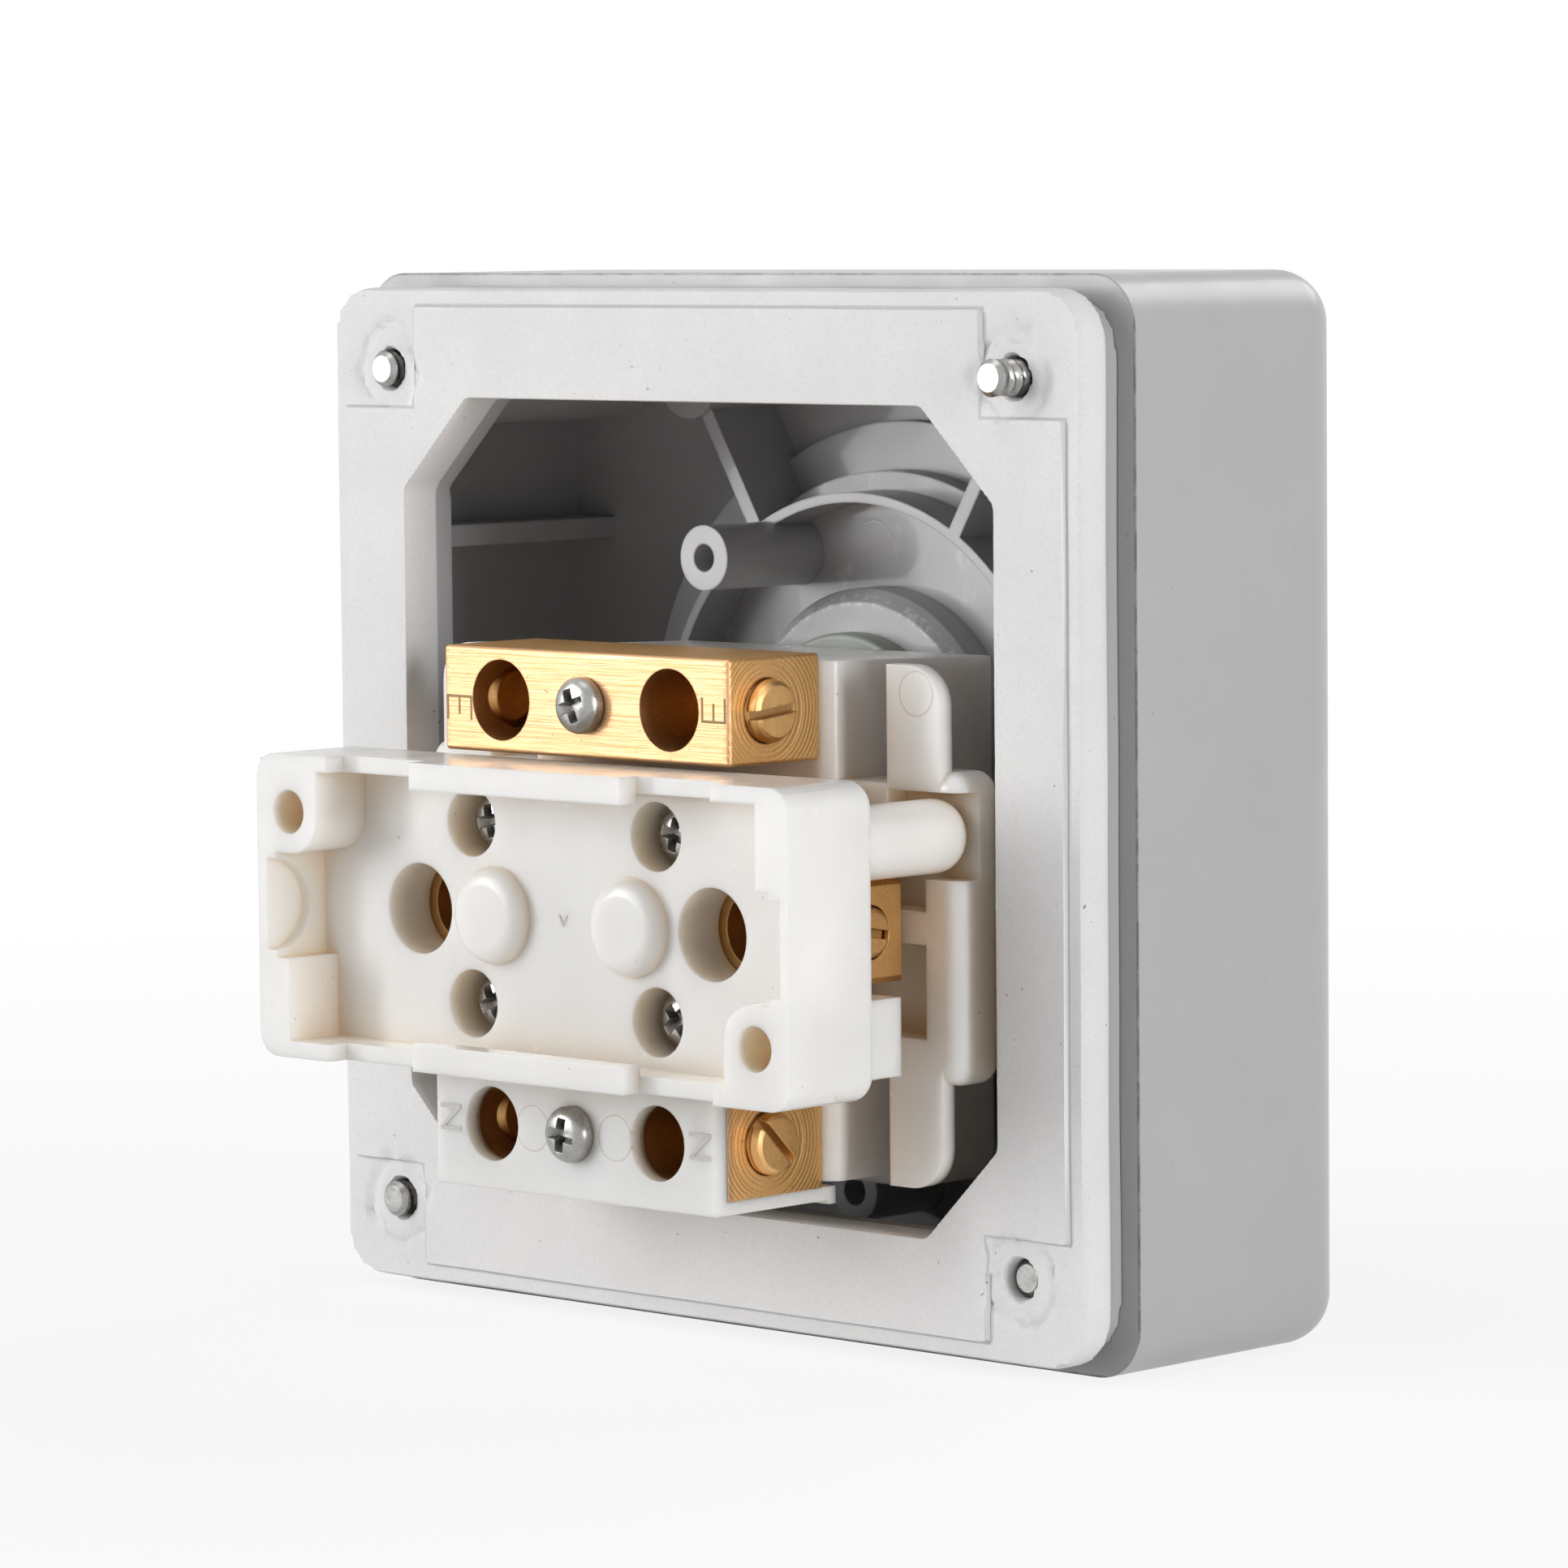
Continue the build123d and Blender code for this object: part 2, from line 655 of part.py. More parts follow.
terminal_cover.part.label = "terminal_cover"
export_step(terminal_cover.part, "parts/terminal_cover.step")

with BuildPart() as terminal_cover_screws:
    with BuildSketch(at(well_seat + small_head_h)):
        with Locations((0, mech_z)):
            with GridLocations(2 * well_x, 2 * well_z, 2, 2):
                Circle(small_head_r)
    extrude(amount=small_head_h)
    with BuildSketch(at(well_seat)):
        with Locations((0, mech_z)):
            with GridLocations(2 * well_x, 2 * well_z, 2, 2):
                Circle(small_screw_r)
    extrude(amount=well_seat - screw_end)
terminal_cover_screws.part.label = "terminal_cover_screws"
export_step(terminal_cover_screws.part, "parts/terminal_cover_screws.step")

# Brass line terminal on the +X side
with BuildPart() as line_terminal:
    with BuildSketch(at(term_rear)):
        with Locations((term_start, mech_z)):
            Rectangle(term_end - term_start, term_h, align=(Align.MIN, Align.CENTER))
    extrude(amount=term_rear - block_rear)
    chamfer(line_terminal.faces().sort_by(Axis.X)[-1].edges(), term_edge)
    with BuildSketch(at(term_rear)):
        with Locations((wire_x, mech_z)):
            Circle(wire_r)
    extrude(amount=term_rear - block_rear - term_floor, mode=Mode.SUBTRACT)
    with BuildSketch(Plane.YZ.offset(term_end)):
        with Locations((term_clamp_y, mech_z)):
            Circle(term_clamp_r + snug)
    extrude(amount=wire_x - term_end, mode=Mode.SUBTRACT)
line_terminal.part.label = "line_terminal"
export_step(line_terminal.part, "parts/line_terminal.step")

# Brass load terminal, the mirror image
with BuildPart() as load_terminal:
    add(mirror(line_terminal.part, about=Plane.YZ, mode=Mode.PRIVATE))
load_terminal.part.label = "load_terminal"
export_step(load_terminal.part, "parts/load_terminal.step")

with BuildPart() as terminal_clamp_screws:
    for side in (-1, 1):
        with BuildSketch(Plane.YZ.offset(side * (term_end + term_clamp_out))):
            with Locations((term_clamp_y, mech_z)):
                Circle(term_clamp_r)
        extrude(amount=side * (wire_x + wire_r - clamp_reach - term_end - term_clamp_out))
terminal_clamp_screws.part.label = "terminal_clamp_screws"
export_step(terminal_clamp_screws.part, "parts/terminal_clamp_screws.step")

# Fixed contact strips from the terminals to the blade
with BuildPart() as line_contact:
    with BuildSketch(Plane.YZ.offset(contact_x)):
        with Locations((contact_front, mech_z - contact_h / 2)):
            Rectangle(contact_bend - contact_front, shaft_z - mech_z + contact_h, align=Align.MIN)
        with Locations((contact_bend, mech_z)):
            Rectangle(block_rear - contact_bend, contact_h, align=(Align.MIN, Align.CENTER))
    extrude(amount=contact_t)
    with BuildSketch(at(block_rear)):
        with Locations((contact_x, mech_z)):
            Rectangle(contact_foot - contact_x, contact_h, align=(Align.MIN, Align.CENTER))
    extrude(amount=contact_t)
line_contact.part.label = "line_contact"
export_step(line_contact.part, "parts/line_contact.step")

with BuildPart() as load_contact:
    add(mirror(line_contact.part, about=Plane.YZ, mode=Mode.PRIVATE))
load_contact.part.label = "load_contact"
export_step(load_contact.part, "parts/load_contact.step")

# Earth bar above the cover
with BuildPart() as earth_bar:
    with BuildSketch(at(earth_rear)):
        with Locations((0, mech_z + bar_gap)):
            Rectangle(earth_w, bar_h)
    extrude(amount=earth_rear - block_rear)
    fillet(earth_bar.edges(), bar_edge)
    with BuildSketch(at(earth_rear)):
        with Locations((0, mech_z + bar_gap)):
            with GridLocations(2 * earth_wire_x, 0, 2, 1):
                Circle(earth_wire_r)
    extrude(amount=earth_rear - block_rear - bar_floor, mode=Mode.SUBTRACT)
    with BuildSketch(at(earth_rear)):
        with Locations((0, mech_z + bar_gap)):
            Circle(small_screw_r + snug)
    extrude(amount=earth_rear - block_rear, mode=Mode.SUBTRACT)
    for side in (-1, 1):
        with BuildSketch(Plane.YZ.offset(side * earth_w / 2)):
            with Locations((bar_clamp_y, mech_z + bar_gap)):
                Circle(bar_clamp_r + snug)
        extrude(amount=side * (earth_wire_x - earth_w / 2), mode=Mode.SUBTRACT)
earth_bar.part.label = "earth_bar"
export_step(earth_bar.part, "parts/earth_bar.step")

with BuildPart() as earth_clamp_screws:
    for side in (-1, 1):
        with BuildSketch(Plane.YZ.offset(side * (earth_w / 2 + bar_clamp_out))):
            with Locations((bar_clamp_y, mech_z + bar_gap)):
                Circle(bar_clamp_r)
        extrude(amount=side * (earth_wire_x + earth_wire_r - clamp_reach - earth_w / 2 - bar_clamp_out))
earth_clamp_screws.part.label = "earth_clamp_screws"
export_step(earth_clamp_screws.part, "parts/earth_clamp_screws.step")

with BuildPart() as earth_bar_screw:
    with BuildSketch(at(earth_rear + small_head_h)):
        with Locations((0, mech_z + bar_gap)):
            Circle(small_head_r)
    extrude(amount=small_head_h)
    with BuildSketch(at(earth_rear)):
        with Locations((0, mech_z + bar_gap)):
            Circle(small_screw_r)
    extrude(amount=earth_rear - screw_end)
earth_bar_screw.part.label = "earth_bar_screw"
export_step(earth_bar_screw.part, "parts/earth_bar_screw.step")

# Neutral bar below the cover
with BuildPart() as neutral_bar:
    with BuildSketch(at(neutral_rear)):
        with Locations((0, mech_z - bar_gap)):
            Rectangle(neutral_w, bar_h)
    extrude(amount=neutral_rear - block_rear)
    with BuildSketch(at(neutral_rear)):
        with Locations((0, mech_z - bar_gap)):
            with GridLocations(2 * neutral_wire_x, 0, 2, 1):
                Circle(neutral_wire_r)
    extrude(amount=neutral_rear - block_rear - bar_floor, mode=Mode.SUBTRACT)
    with BuildSketch(at(neutral_rear)):
        with Locations((0, mech_z - bar_gap)):
            Circle(small_screw_r + snug)
    extrude(amount=neutral_rear - block_rear, mode=Mode.SUBTRACT)
    for side in (-1, 1):
        with BuildSketch(Plane.YZ.offset(side * neutral_w / 2)):
            with Locations((bar_clamp_y, mech_z - bar_gap)):
                Circle(bar_clamp_r + snug)
        extrude(amount=side * (neutral_wire_x - neutral_w / 2), mode=Mode.SUBTRACT)
neutral_bar.part.label = "neutral_bar"
export_step(neutral_bar.part, "parts/neutral_bar.step")

# White carrier: plate over the neutral bar and a floor under it with a foot
with BuildPart() as neutral_carrier:
    with BuildSketch(Plane.YZ):
        low = mech_z - bar_gap - bar_h / 2
        top = mech_z - bar_gap + bar_h / 2
        Polygon((neutral_rear, top), (neutral_rear + carrier_t, top),
                (neutral_rear + carrier_t, low - carrier_floor), (carrier_end, low - carrier_floor),
                (carrier_end, low), (neutral_rear, low), align=None)
        with Locations((carrier_end, low)):
            Rectangle(1, carrier_floor + 0.4, align=(Align.MIN, Align.MAX))
    extrude(amount=neutral_w / 2, both=True)
    with BuildSketch(at(neutral_rear + carrier_t)):
        with Locations((0, mech_z - bar_gap)):
            with GridLocations(2 * neutral_wire_x, 0, 2, 1):
                Circle(neutral_wire_r)
            Circle(small_screw_r + screw_gap)
    extrude(amount=carrier_t, mode=Mode.SUBTRACT)
neutral_carrier.part.label = "neutral_carrier"
export_step(neutral_carrier.part, "parts/neutral_carrier.step")

with BuildPart() as neutral_clamp_screws:
    for side in (-1, 1):
        with BuildSketch(Plane.YZ.offset(side * (neutral_w / 2 + bar_clamp_out))):
            with Locations((bar_clamp_y, mech_z - bar_gap)):
                Circle(bar_clamp_r)
        clamp_start = neutral_wire_x + neutral_wire_r - clamp_reach
        extrude(amount=side * (clamp_start - neutral_w / 2 - bar_clamp_out))
neutral_clamp_screws.part.label = "neutral_clamp_screws"
export_step(neutral_clamp_screws.part, "parts/neutral_clamp_screws.step")

with BuildPart() as neutral_bar_screw:
    with BuildSketch(at(neutral_rear + carrier_t + small_head_h)):
        with Locations((0, mech_z - bar_gap)):
            Circle(small_head_r)
    extrude(amount=small_head_h)
    with BuildSketch(at(neutral_rear + carrier_t)):
        with Locations((0, mech_z - bar_gap)):
            Circle(small_screw_r)
    extrude(amount=neutral_rear + carrier_t - screw_end)
neutral_bar_screw.part.label = "neutral_bar_screw"
export_step(neutral_bar_screw.part, "parts/neutral_bar_screw.step")

# Handle in the front recess
handle_rear = dial_floor - move_gap
with BuildPart() as rotary_handle:
    with BuildSketch(at(handle_rear)):
        with Locations((0, shaft_z)):
            Circle(handle_r)
    extrude(amount=handle_rear - handle_front)
    fillet(rotary_handle.faces().sort_by(Axis.Y)[0].edges(), handle_edge)
    with BuildSketch(at(handle_front + 1)):
        with Locations((0, shaft_z)):
            SlotOverall(grip_length, grip_w)
    extrude(amount=grip_h + 1, taper=5)
    fillet(rotary_handle.faces().sort_by(Axis.Y)[0].edges(), grip_edge)
    with BuildSketch(at(handle_rear)):
        with Locations((0, shaft_z)):
            Circle(shaft_r + snug)
    extrude(amount=socket_depth, mode=Mode.SUBTRACT)
    with BuildSketch(at(handle_rear - socket_depth)):
        with Locations((0, shaft_z)):
            Circle(small_screw_r + snug)
    extrude(amount=handle_hole_depth, mode=Mode.SUBTRACT)
rotary_handle.part.label = "rotary_handle"
export_step(rotary_handle.part, "parts/rotary_handle.step")

# Spindle: flange behind the hub, shaft through it, square that drives the rotor
with BuildPart() as handle_spindle:
    with BuildSketch(at(flange_rear)):
        with Locations((0, shaft_z)):
            Circle(flange_r)
    extrude(amount=flange_rear - hub_rear - 2 * snug)
    fillet(handle_spindle.faces().sort_by(Axis.Y)[-1].edges(), 0.5)
    with BuildSketch(at(hub_rear + 2 * snug)):
        with Locations((0, shaft_z)):
            Circle(shaft_r)
    extrude(amount=hub_rear + 2 * snug - handle_rear + socket_depth - snug)
    with BuildSketch(at(square_rear)):
        with Locations((0, shaft_z)):
            Rectangle(square, square)
    extrude(amount=square_rear - flange_rear)
    with BuildSketch(at(seal_at + seal_wire_r + snug)):
        with Locations((0, shaft_z)):
            Circle(shaft_r + 1)
            Circle(seal_ring_r - seal_wire_r - snug, mode=Mode.SUBTRACT)
    extrude(amount=2 * (seal_wire_r + snug), mode=Mode.SUBTRACT)
    with BuildSketch(at(square_rear)):
        with Locations((0, shaft_z)):
            Circle(small_head_r + screw_gap)
    extrude(amount=square_rear - handle_screw_seat, mode=Mode.SUBTRACT)
    with BuildSketch(at(handle_screw_seat)):
        with Locations((0, shaft_z)):
            Circle(small_screw_r + screw_gap)
    extrude(amount=handle_screw_seat - handle_rear + socket_depth, mode=Mode.SUBTRACT)
handle_spindle.part.label = "handle_spindle"
export_step(handle_spindle.part, "parts/handle_spindle.step")

with BuildPart() as spindle_seal:
    with Locations(Location((0, seal_at, shaft_z), (90, 0, 0))):
        Torus(seal_ring_r, seal_wire_r)
spindle_seal.part.label = "spindle_seal"
export_step(spindle_seal.part, "parts/spindle_seal.step")

with BuildPart() as handle_screw:
    with BuildSketch(at(handle_screw_seat + small_head_h)):
        with Locations((0, shaft_z)):
            Circle(small_head_r)
    extrude(amount=small_head_h)
    with BuildSketch(at(handle_screw_seat)):
        with Locations((0, shaft_z)):
            Circle(small_screw_r)
    extrude(amount=handle_screw_seat - handle_rear + socket_depth + handle_screw_end)
handle_screw.part.label = "handle_screw"
export_step(handle_screw.part, "parts/handle_screw.step")

# Rotor with a neck in the front plate, a pin in the block and a slot for the blade
rotor_front = block_front + plate_t + screw_gap
with BuildPart() as rotor:
    with BuildSketch(at(rotor_rear)):
        with Locations((0, shaft_z)):
            Circle(rotor_r)
    extrude(amount=rotor_rear - rotor_front)
    with BuildSketch(at(rotor_front)):
        with Locations((0, shaft_z)):
            Circle(neck_r)
    extrude(amount=rotor_front - block_front + screw_gap)
    with BuildSketch(at(square_rear + screw_gap)):
        with Locations((0, shaft_z)):
            Rectangle(square + 2 * snug, square + 2 * snug)
    extrude(amount=square_rear - block_front + 1, mode=Mode.SUBTRACT)
    with BuildSketch(at(rotor_rear + pin_length)):
        with Locations((0, shaft_z)):
            Circle(pin_r)
    extrude(amount=pin_length)
    with BuildSketch(at(blade_at + blade_t / 2 + snug)):
        with Locations((0, shaft_z)):
            Rectangle(blade_w + 2 * snug, 2 * rotor_r + 2)
    extrude(amount=blade_t + 2 * snug, mode=Mode.SUBTRACT)
rotor.part.label = "rotor"
export_step(rotor.part, "parts/rotor.step")

with BuildPart() as moving_contact:
    with BuildSketch(at(blade_at + blade_t / 2)):
        with Locations((0, shaft_z)):
            Circle(blade_r)
            Rectangle(blade_w, 2 * blade_r, mode=Mode.INTERSECT)
    extrude(amount=blade_t)
moving_contact.part.label = "moving_contact"
export_step(moving_contact.part, "parts/moving_contact.step")
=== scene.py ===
import math
import bpy
import bmesh
from mathutils import Matrix, Vector, noise


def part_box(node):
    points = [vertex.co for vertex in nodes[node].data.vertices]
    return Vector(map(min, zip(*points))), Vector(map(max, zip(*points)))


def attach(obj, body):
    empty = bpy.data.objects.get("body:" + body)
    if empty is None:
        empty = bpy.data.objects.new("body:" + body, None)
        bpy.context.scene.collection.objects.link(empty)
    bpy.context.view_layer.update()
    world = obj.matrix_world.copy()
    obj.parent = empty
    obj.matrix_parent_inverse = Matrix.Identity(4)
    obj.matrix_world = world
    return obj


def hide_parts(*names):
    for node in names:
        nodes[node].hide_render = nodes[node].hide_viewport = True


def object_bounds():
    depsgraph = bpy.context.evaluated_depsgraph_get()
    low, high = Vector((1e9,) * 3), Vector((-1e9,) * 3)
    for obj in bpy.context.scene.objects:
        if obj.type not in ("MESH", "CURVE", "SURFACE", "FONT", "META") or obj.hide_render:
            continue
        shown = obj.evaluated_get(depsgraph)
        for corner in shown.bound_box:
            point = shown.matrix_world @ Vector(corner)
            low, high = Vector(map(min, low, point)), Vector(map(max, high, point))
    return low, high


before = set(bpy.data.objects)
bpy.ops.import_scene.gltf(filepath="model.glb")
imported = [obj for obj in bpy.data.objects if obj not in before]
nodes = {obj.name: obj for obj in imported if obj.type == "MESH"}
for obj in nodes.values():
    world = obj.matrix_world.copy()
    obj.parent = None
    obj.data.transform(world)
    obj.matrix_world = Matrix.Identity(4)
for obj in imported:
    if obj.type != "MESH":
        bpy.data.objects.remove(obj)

cad_lo, cad_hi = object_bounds()
scene = bpy.context.scene
MM = 0.001

# Places on the switch, in millimetres, from the boxes of the CAD nodes
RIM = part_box("rear_gasket")[0].y / MM
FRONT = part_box("front_housing")[0].y / MM
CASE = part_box("front_housing")[1].x / MM
GRIP_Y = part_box("rotary_handle")[0].y / MM
BAR_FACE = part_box("earth_bar")[1].y / MM
BAR_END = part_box("earth_bar")[1].x / MM
NEUTRAL_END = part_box("neutral_bar")[1].x / MM
TERMINAL_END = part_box("line_terminal")[1].x / MM
CARRIER_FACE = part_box("neutral_carrier")[1].y / MM
SHAFT_Z = sum(corner.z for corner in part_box("handle_spindle")) / 2 / MM
MECH_Z = sum(corner.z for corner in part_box("terminal_cover")) / 2 / MM
EARTH_Z = sum(corner.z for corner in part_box("earth_bar")) / 2 / MM
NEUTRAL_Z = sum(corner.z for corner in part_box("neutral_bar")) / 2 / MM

# Other places, as in the CAD model: depths from the rim, and sizes of the screws
ZONE_Y = RIM - 21.7
ZONE_R = 32.8
PANEL_Y = RIM - 25.8
HUB_EDGE_Y = RIM - 17.7
HUB_EDGE_R = 15.6
EAR_FACE = RIM + 7.2
EAR_X, EAR_RISE = 30.0, 21.6
TRAY_FLOOR = RIM + 23.4
BAR_CLAMP_Y = RIM + 15.35
TERMINAL_CLAMP_Y = RIM + 13.0
HEAD_R, HEAD_H = 2.7, 1.9
SHANK_R, SHANK = 1.45, 6.0
CORNER_R, CORNER_LENGTH = 1.75, 32.0
CORNER_HEAD_R, CORNER_HEAD_H = 3.2, 2.4
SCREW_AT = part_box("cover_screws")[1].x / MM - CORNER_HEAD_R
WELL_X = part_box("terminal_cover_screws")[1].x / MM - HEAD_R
WELL_Z = 8.6
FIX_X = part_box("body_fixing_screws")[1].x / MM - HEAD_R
FIX_Z = 7.4

# Gasket: outline of its raised face, height of the face and size of the mesh cells
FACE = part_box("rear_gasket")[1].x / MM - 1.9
NOTCH = FACE - 10.0
RAISE = 0.5
VOXEL = 0.5


class Shader:
    """A material and short calls that add its nodes. Lengths are in millimetres."""

    def __init__(self, name):
        self.mat = bpy.data.materials.new(name)
        self.mat.use_nodes = True
        self.tree = self.mat.node_tree
        self.bsdf = self.tree.nodes["Principled BSDF"]
        coord = self.tree.nodes.new("ShaderNodeTexCoord")
        scale = self.tree.nodes.new("ShaderNodeVectorMath")
        scale.operation = "SCALE"
        self.tree.links.new(coord.outputs["Object"], scale.inputs[0])
        scale.inputs["Scale"].default_value = 1 / MM
        self.pos = scale.outputs["Vector"]
        split = self.tree.nodes.new("ShaderNodeSeparateXYZ")
        self.tree.links.new(self.pos, split.inputs[0])
        self.x, self.y, self.z = split.outputs

    def put(self, socket, value):
        """Link a socket to another, or set its value."""
        if isinstance(value, bpy.types.NodeSocket):
            self.tree.links.new(value, socket)
        elif value is not None:
            socket.default_value = value

    def set(self, **values):
        for name, value in values.items():
            self.put(self.bsdf.inputs[name.replace("_", " ")], value)

    def math(self, op, a, b=None):
        n = self.tree.nodes.new("ShaderNodeMath")
        n.operation = op
        for i, v in enumerate((a, b)):
            self.put(n.inputs[i], v)
        return n.outputs[0]

    def add(self, *values):
        total = values[0]
        for v in values[1:]:
            total = self.math("ADD", total, v)
        return total

    def times(self, *values):
        total = values[0]
        for v in values[1:]:
            total = self.math("MULTIPLY", total, v)
        return total

    def noise(self, scale, detail=3.0, rough=0.55, stretch=None):
        n = self.tree.nodes.new("ShaderNodeTexNoise")
        vector = self.pos
        if stretch:
            m = self.tree.nodes.new("ShaderNodeVectorMath")
            m.operation = "MULTIPLY"
            self.put(m.inputs[0], self.pos)
            m.inputs[1].default_value = stretch
            vector = m.outputs[0]
        self.put(n.inputs["Vector"], vector)
        n.inputs["Scale"].default_value = scale
        n.inputs["Detail"].default_value = detail
        n.inputs["Roughness"].default_value = rough
        return n.outputs["Fac"]

    def ramp(self, value, low, high, to_low=0.0, to_high=1.0):
        """A smooth step from to_low at low to to_high at high."""
        n = self.tree.nodes.new("ShaderNodeMapRange")
        n.interpolation_type = "SMOOTHSTEP"
        for name, v in (("Value", value), ("From Min", low), ("From Max", high),
                        ("To Min", to_low), ("To Max", to_high)):
            self.put(n.inputs[name], v)
        return n.outputs["Result"]

    def mix(self, fac, a, b):
        n = self.tree.nodes.new("ShaderNodeMix")
        n.data_type = "RGBA"
        self.put(n.inputs["Factor"], fac)
        for i, v in ((6, a), (7, b)):
            self.put(n.inputs[i], (*v, 1.0) if isinstance(v, tuple) else v)
        return n.outputs[2]

    def cloudy(self, scale, detail, dark, pale):
        """A tone that wanders softly between two colours."""
        return self.mix(self.ramp(self.noise(scale, detail), 0.3, 0.7), dark, pale)

    def tint(self, base, mask, share, colour):
        """base with a share of another colour where the mask is 1."""
        return self.mix(self.math("MULTIPLY", mask, share), base, colour)

    def gloss(self, scale, low, high):
        """A roughness that wanders between two values."""
        return self.ramp(self.noise(scale, 3), 0.2, 0.8, low, high)

    def far(self, u, v, cu, cv):
        """Distance of the point (u, v) from (cu, cv)."""
        du = self.math("SUBTRACT", u, cu)
        dv = self.math("SUBTRACT", v, cv)
        return self.math("SQRT", self.add(self.times(du, du), self.times(dv, dv)))

    def band(self, value, middle, half, soft):
        """1 within half of the middle, and 0 further out than half + soft."""
        off = self.math("ABSOLUTE", self.math("SUBTRACT", value, middle))
        return self.ramp(off, half, half + soft, 1.0, 0.0)

    def circle(self, x, z, radius, y):
        """A fine round groove about (x, z) on the face at y."""
        line = self.band(self.far(self.x, self.z, x, z), radius, 0.05, 0.09)
        return self.times(line, self.band(self.y, y, 0.3, 0.2))

    def crevice(self, reach):
        """0 in the open and 1 where near surfaces shut out the light."""
        n = self.tree.nodes.new("ShaderNodeAmbientOcclusion")
        n.samples = 3
        n.inputs["Distance"].default_value = reach * MM
        return self.math("SUBTRACT", 1.0, n.outputs["AO"])

    def bump(self, height, strength, distance, edge):
        """Relief from a height, on edges that look rounded by the radius edge."""
        b = self.tree.nodes.new("ShaderNodeBump")
        b.inputs["Strength"].default_value = strength
        b.inputs["Distance"].default_value = distance * MM
        self.put(b.inputs["Height"], height)
        if edge:
            e = self.tree.nodes.new("ShaderNodeBevel")
            e.samples = 3
            e.inputs["Radius"].default_value = edge * MM
            self.put(b.inputs["Normal"], e.outputs[0])
        self.set(Normal=b.outputs[0])


def housing_material():
    s = Shader("housing_abs")
    base = s.cloudy(0.05, 3, (0.425, 0.426, 0.434), (0.45, 0.45, 0.457))
    from_shaft = s.far(s.x, s.z, 0.0, SHAFT_Z)
    # worn arc on the hub's chamfer, where the spindle's flange turned
    hub = s.times(s.band(from_shaft, HUB_EDGE_R, 0.35, 0.35), s.band(s.y, HUB_EDGE_Y, 0.8, 0.3))
    rub = s.times(hub, s.ramp(s.noise(0.9, 5, 0.7), 0.5, 0.58))
    base = s.tint(base, rub, 0.55, (0.74, 0.74, 0.73))
    # pale scuffs on the round zone
    zone = s.times(s.ramp(from_shaft, ZONE_R + 0.2, ZONE_R - 0.8), s.band(s.y, ZONE_Y, 0.4, 0.3))
    scrape = s.times(zone, s.ramp(s.noise(0.28, 5, 0.75, (1.0, 1.0, 0.45)), 0.56, 0.68))
    base = s.tint(base, scrape, 0.35, (0.72, 0.72, 0.71))
    # thin broken brown line on the outer edge of the rear rim
    outward = s.math("MAXIMUM", s.math("ABSOLUTE", s.x), s.math("ABSOLUTE", s.z))
    edge = s.times(s.band(s.y, RIM, 0.1, 0.12), s.ramp(outward, CASE - 0.3, CASE - 0.1))
    line = s.times(edge, s.ramp(s.noise(0.3, 5, 0.7), 0.4, 0.6, 0.35, 1.0))
    base = s.tint(base, line, 0.75, (0.14, 0.105, 0.08))
    speck = s.ramp(s.noise(1.1, 1), 0.79, 0.81)
    base = s.tint(base, speck, 0.4, (0.24, 0.23, 0.22))
    # ejector circles on the panel and on the round zone
    circles = s.add(s.circle(34.0, 30.0, 2.45, PANEL_Y), s.circle(2.0, 23.5, 2.6, ZONE_Y))
    scuff = s.ramp(s.noise(0.7, 4, 0.6, (1.0, 1.0, 0.3)), 0.62, 0.7)
    s.set(Base_Color=base, Roughness=s.gloss(0.25, 0.28, 0.38), IOR=1.5, Coat_Weight=0.1)
    height = s.add(s.times(s.noise(2.2, 2), 0.3), s.times(scuff, 0.2), s.times(circles, -1.2))
    s.bump(height, strength=0.1, distance=0.2, edge=0.35)
    return s.mat


def gasket_material():
    s = Shader("gasket_foam")
    ax, az = s.math("ABSOLUTE", s.x), s.math("ABSOLUTE", s.z)
    base = s.cloudy(0.07, 4, (0.775, 0.775, 0.785), (0.82, 0.82, 0.82))
    grain = s.noise(4.0, 3, 0.75)
    base = s.mix(s.ramp(grain, 0.36, 0.55, 0.2, 0.0), base, (0.58, 0.58, 0.59))
    # painted shade: the thin lower layer, in the shadow of the flange's overhang, is painted greyer
    # than the flange
    base = s.mix(s.ramp(s.y, RIM + 2.4, RIM + 2.1), base, (0.43, 0.43, 0.445))
    # painted shade: grey in the step round the raised face, where the step's side lies in shadow
    side = s.math("SUBTRACT", FACE, s.math("MAXIMUM", ax, az))
    notch = s.math("SUBTRACT", NOTCH, s.math("MINIMUM", ax, az))
    step_shade = s.band(s.math("MINIMUM", side, notch), -0.06, 0.1, 0.1)
    base = s.tint(base, step_shade, 0.5, (0.42, 0.42, 0.435))
    # grey rings along the dents round the corner screws
    stray = s.ramp(s.noise(0.35, 3), 0.2, 0.8, -0.8, 0.8)
    ring_at = s.add(s.far(ax, az, SCREW_AT, SCREW_AT), stray)
    screw_ring_grey = s.times(s.band(ring_at, 4.0, 0.1, 0.25), s.ramp(s.noise(0.22, 3), 0.45, 0.6))
    base = s.tint(base, screw_ring_grey, 0.3, (0.48, 0.47, 0.46))
    # faint soiling near the screws, and a few brown and red specks
    soil = s.times(s.ramp(ring_at, 2.0, 9.0, 1.0, 0.0), s.ramp(s.noise(0.5, 5, 0.65), 0.5, 0.75))
    base = s.tint(base, soil, 0.22, (0.50, 0.46, 0.41))
    speck = s.ramp(s.noise(1.5, 1), 0.775, 0.80)
    base = s.tint(base, speck, 0.75, (0.30, 0.15, 0.09))
    s.set(Base_Color=base, Roughness=0.85)
    height = s.add(s.times(grain, 0.7), s.times(s.noise(1.4, 3), 0.6))
    s.bump(height, strength=0.2, distance=0.22, edge=None)
    return s.mat


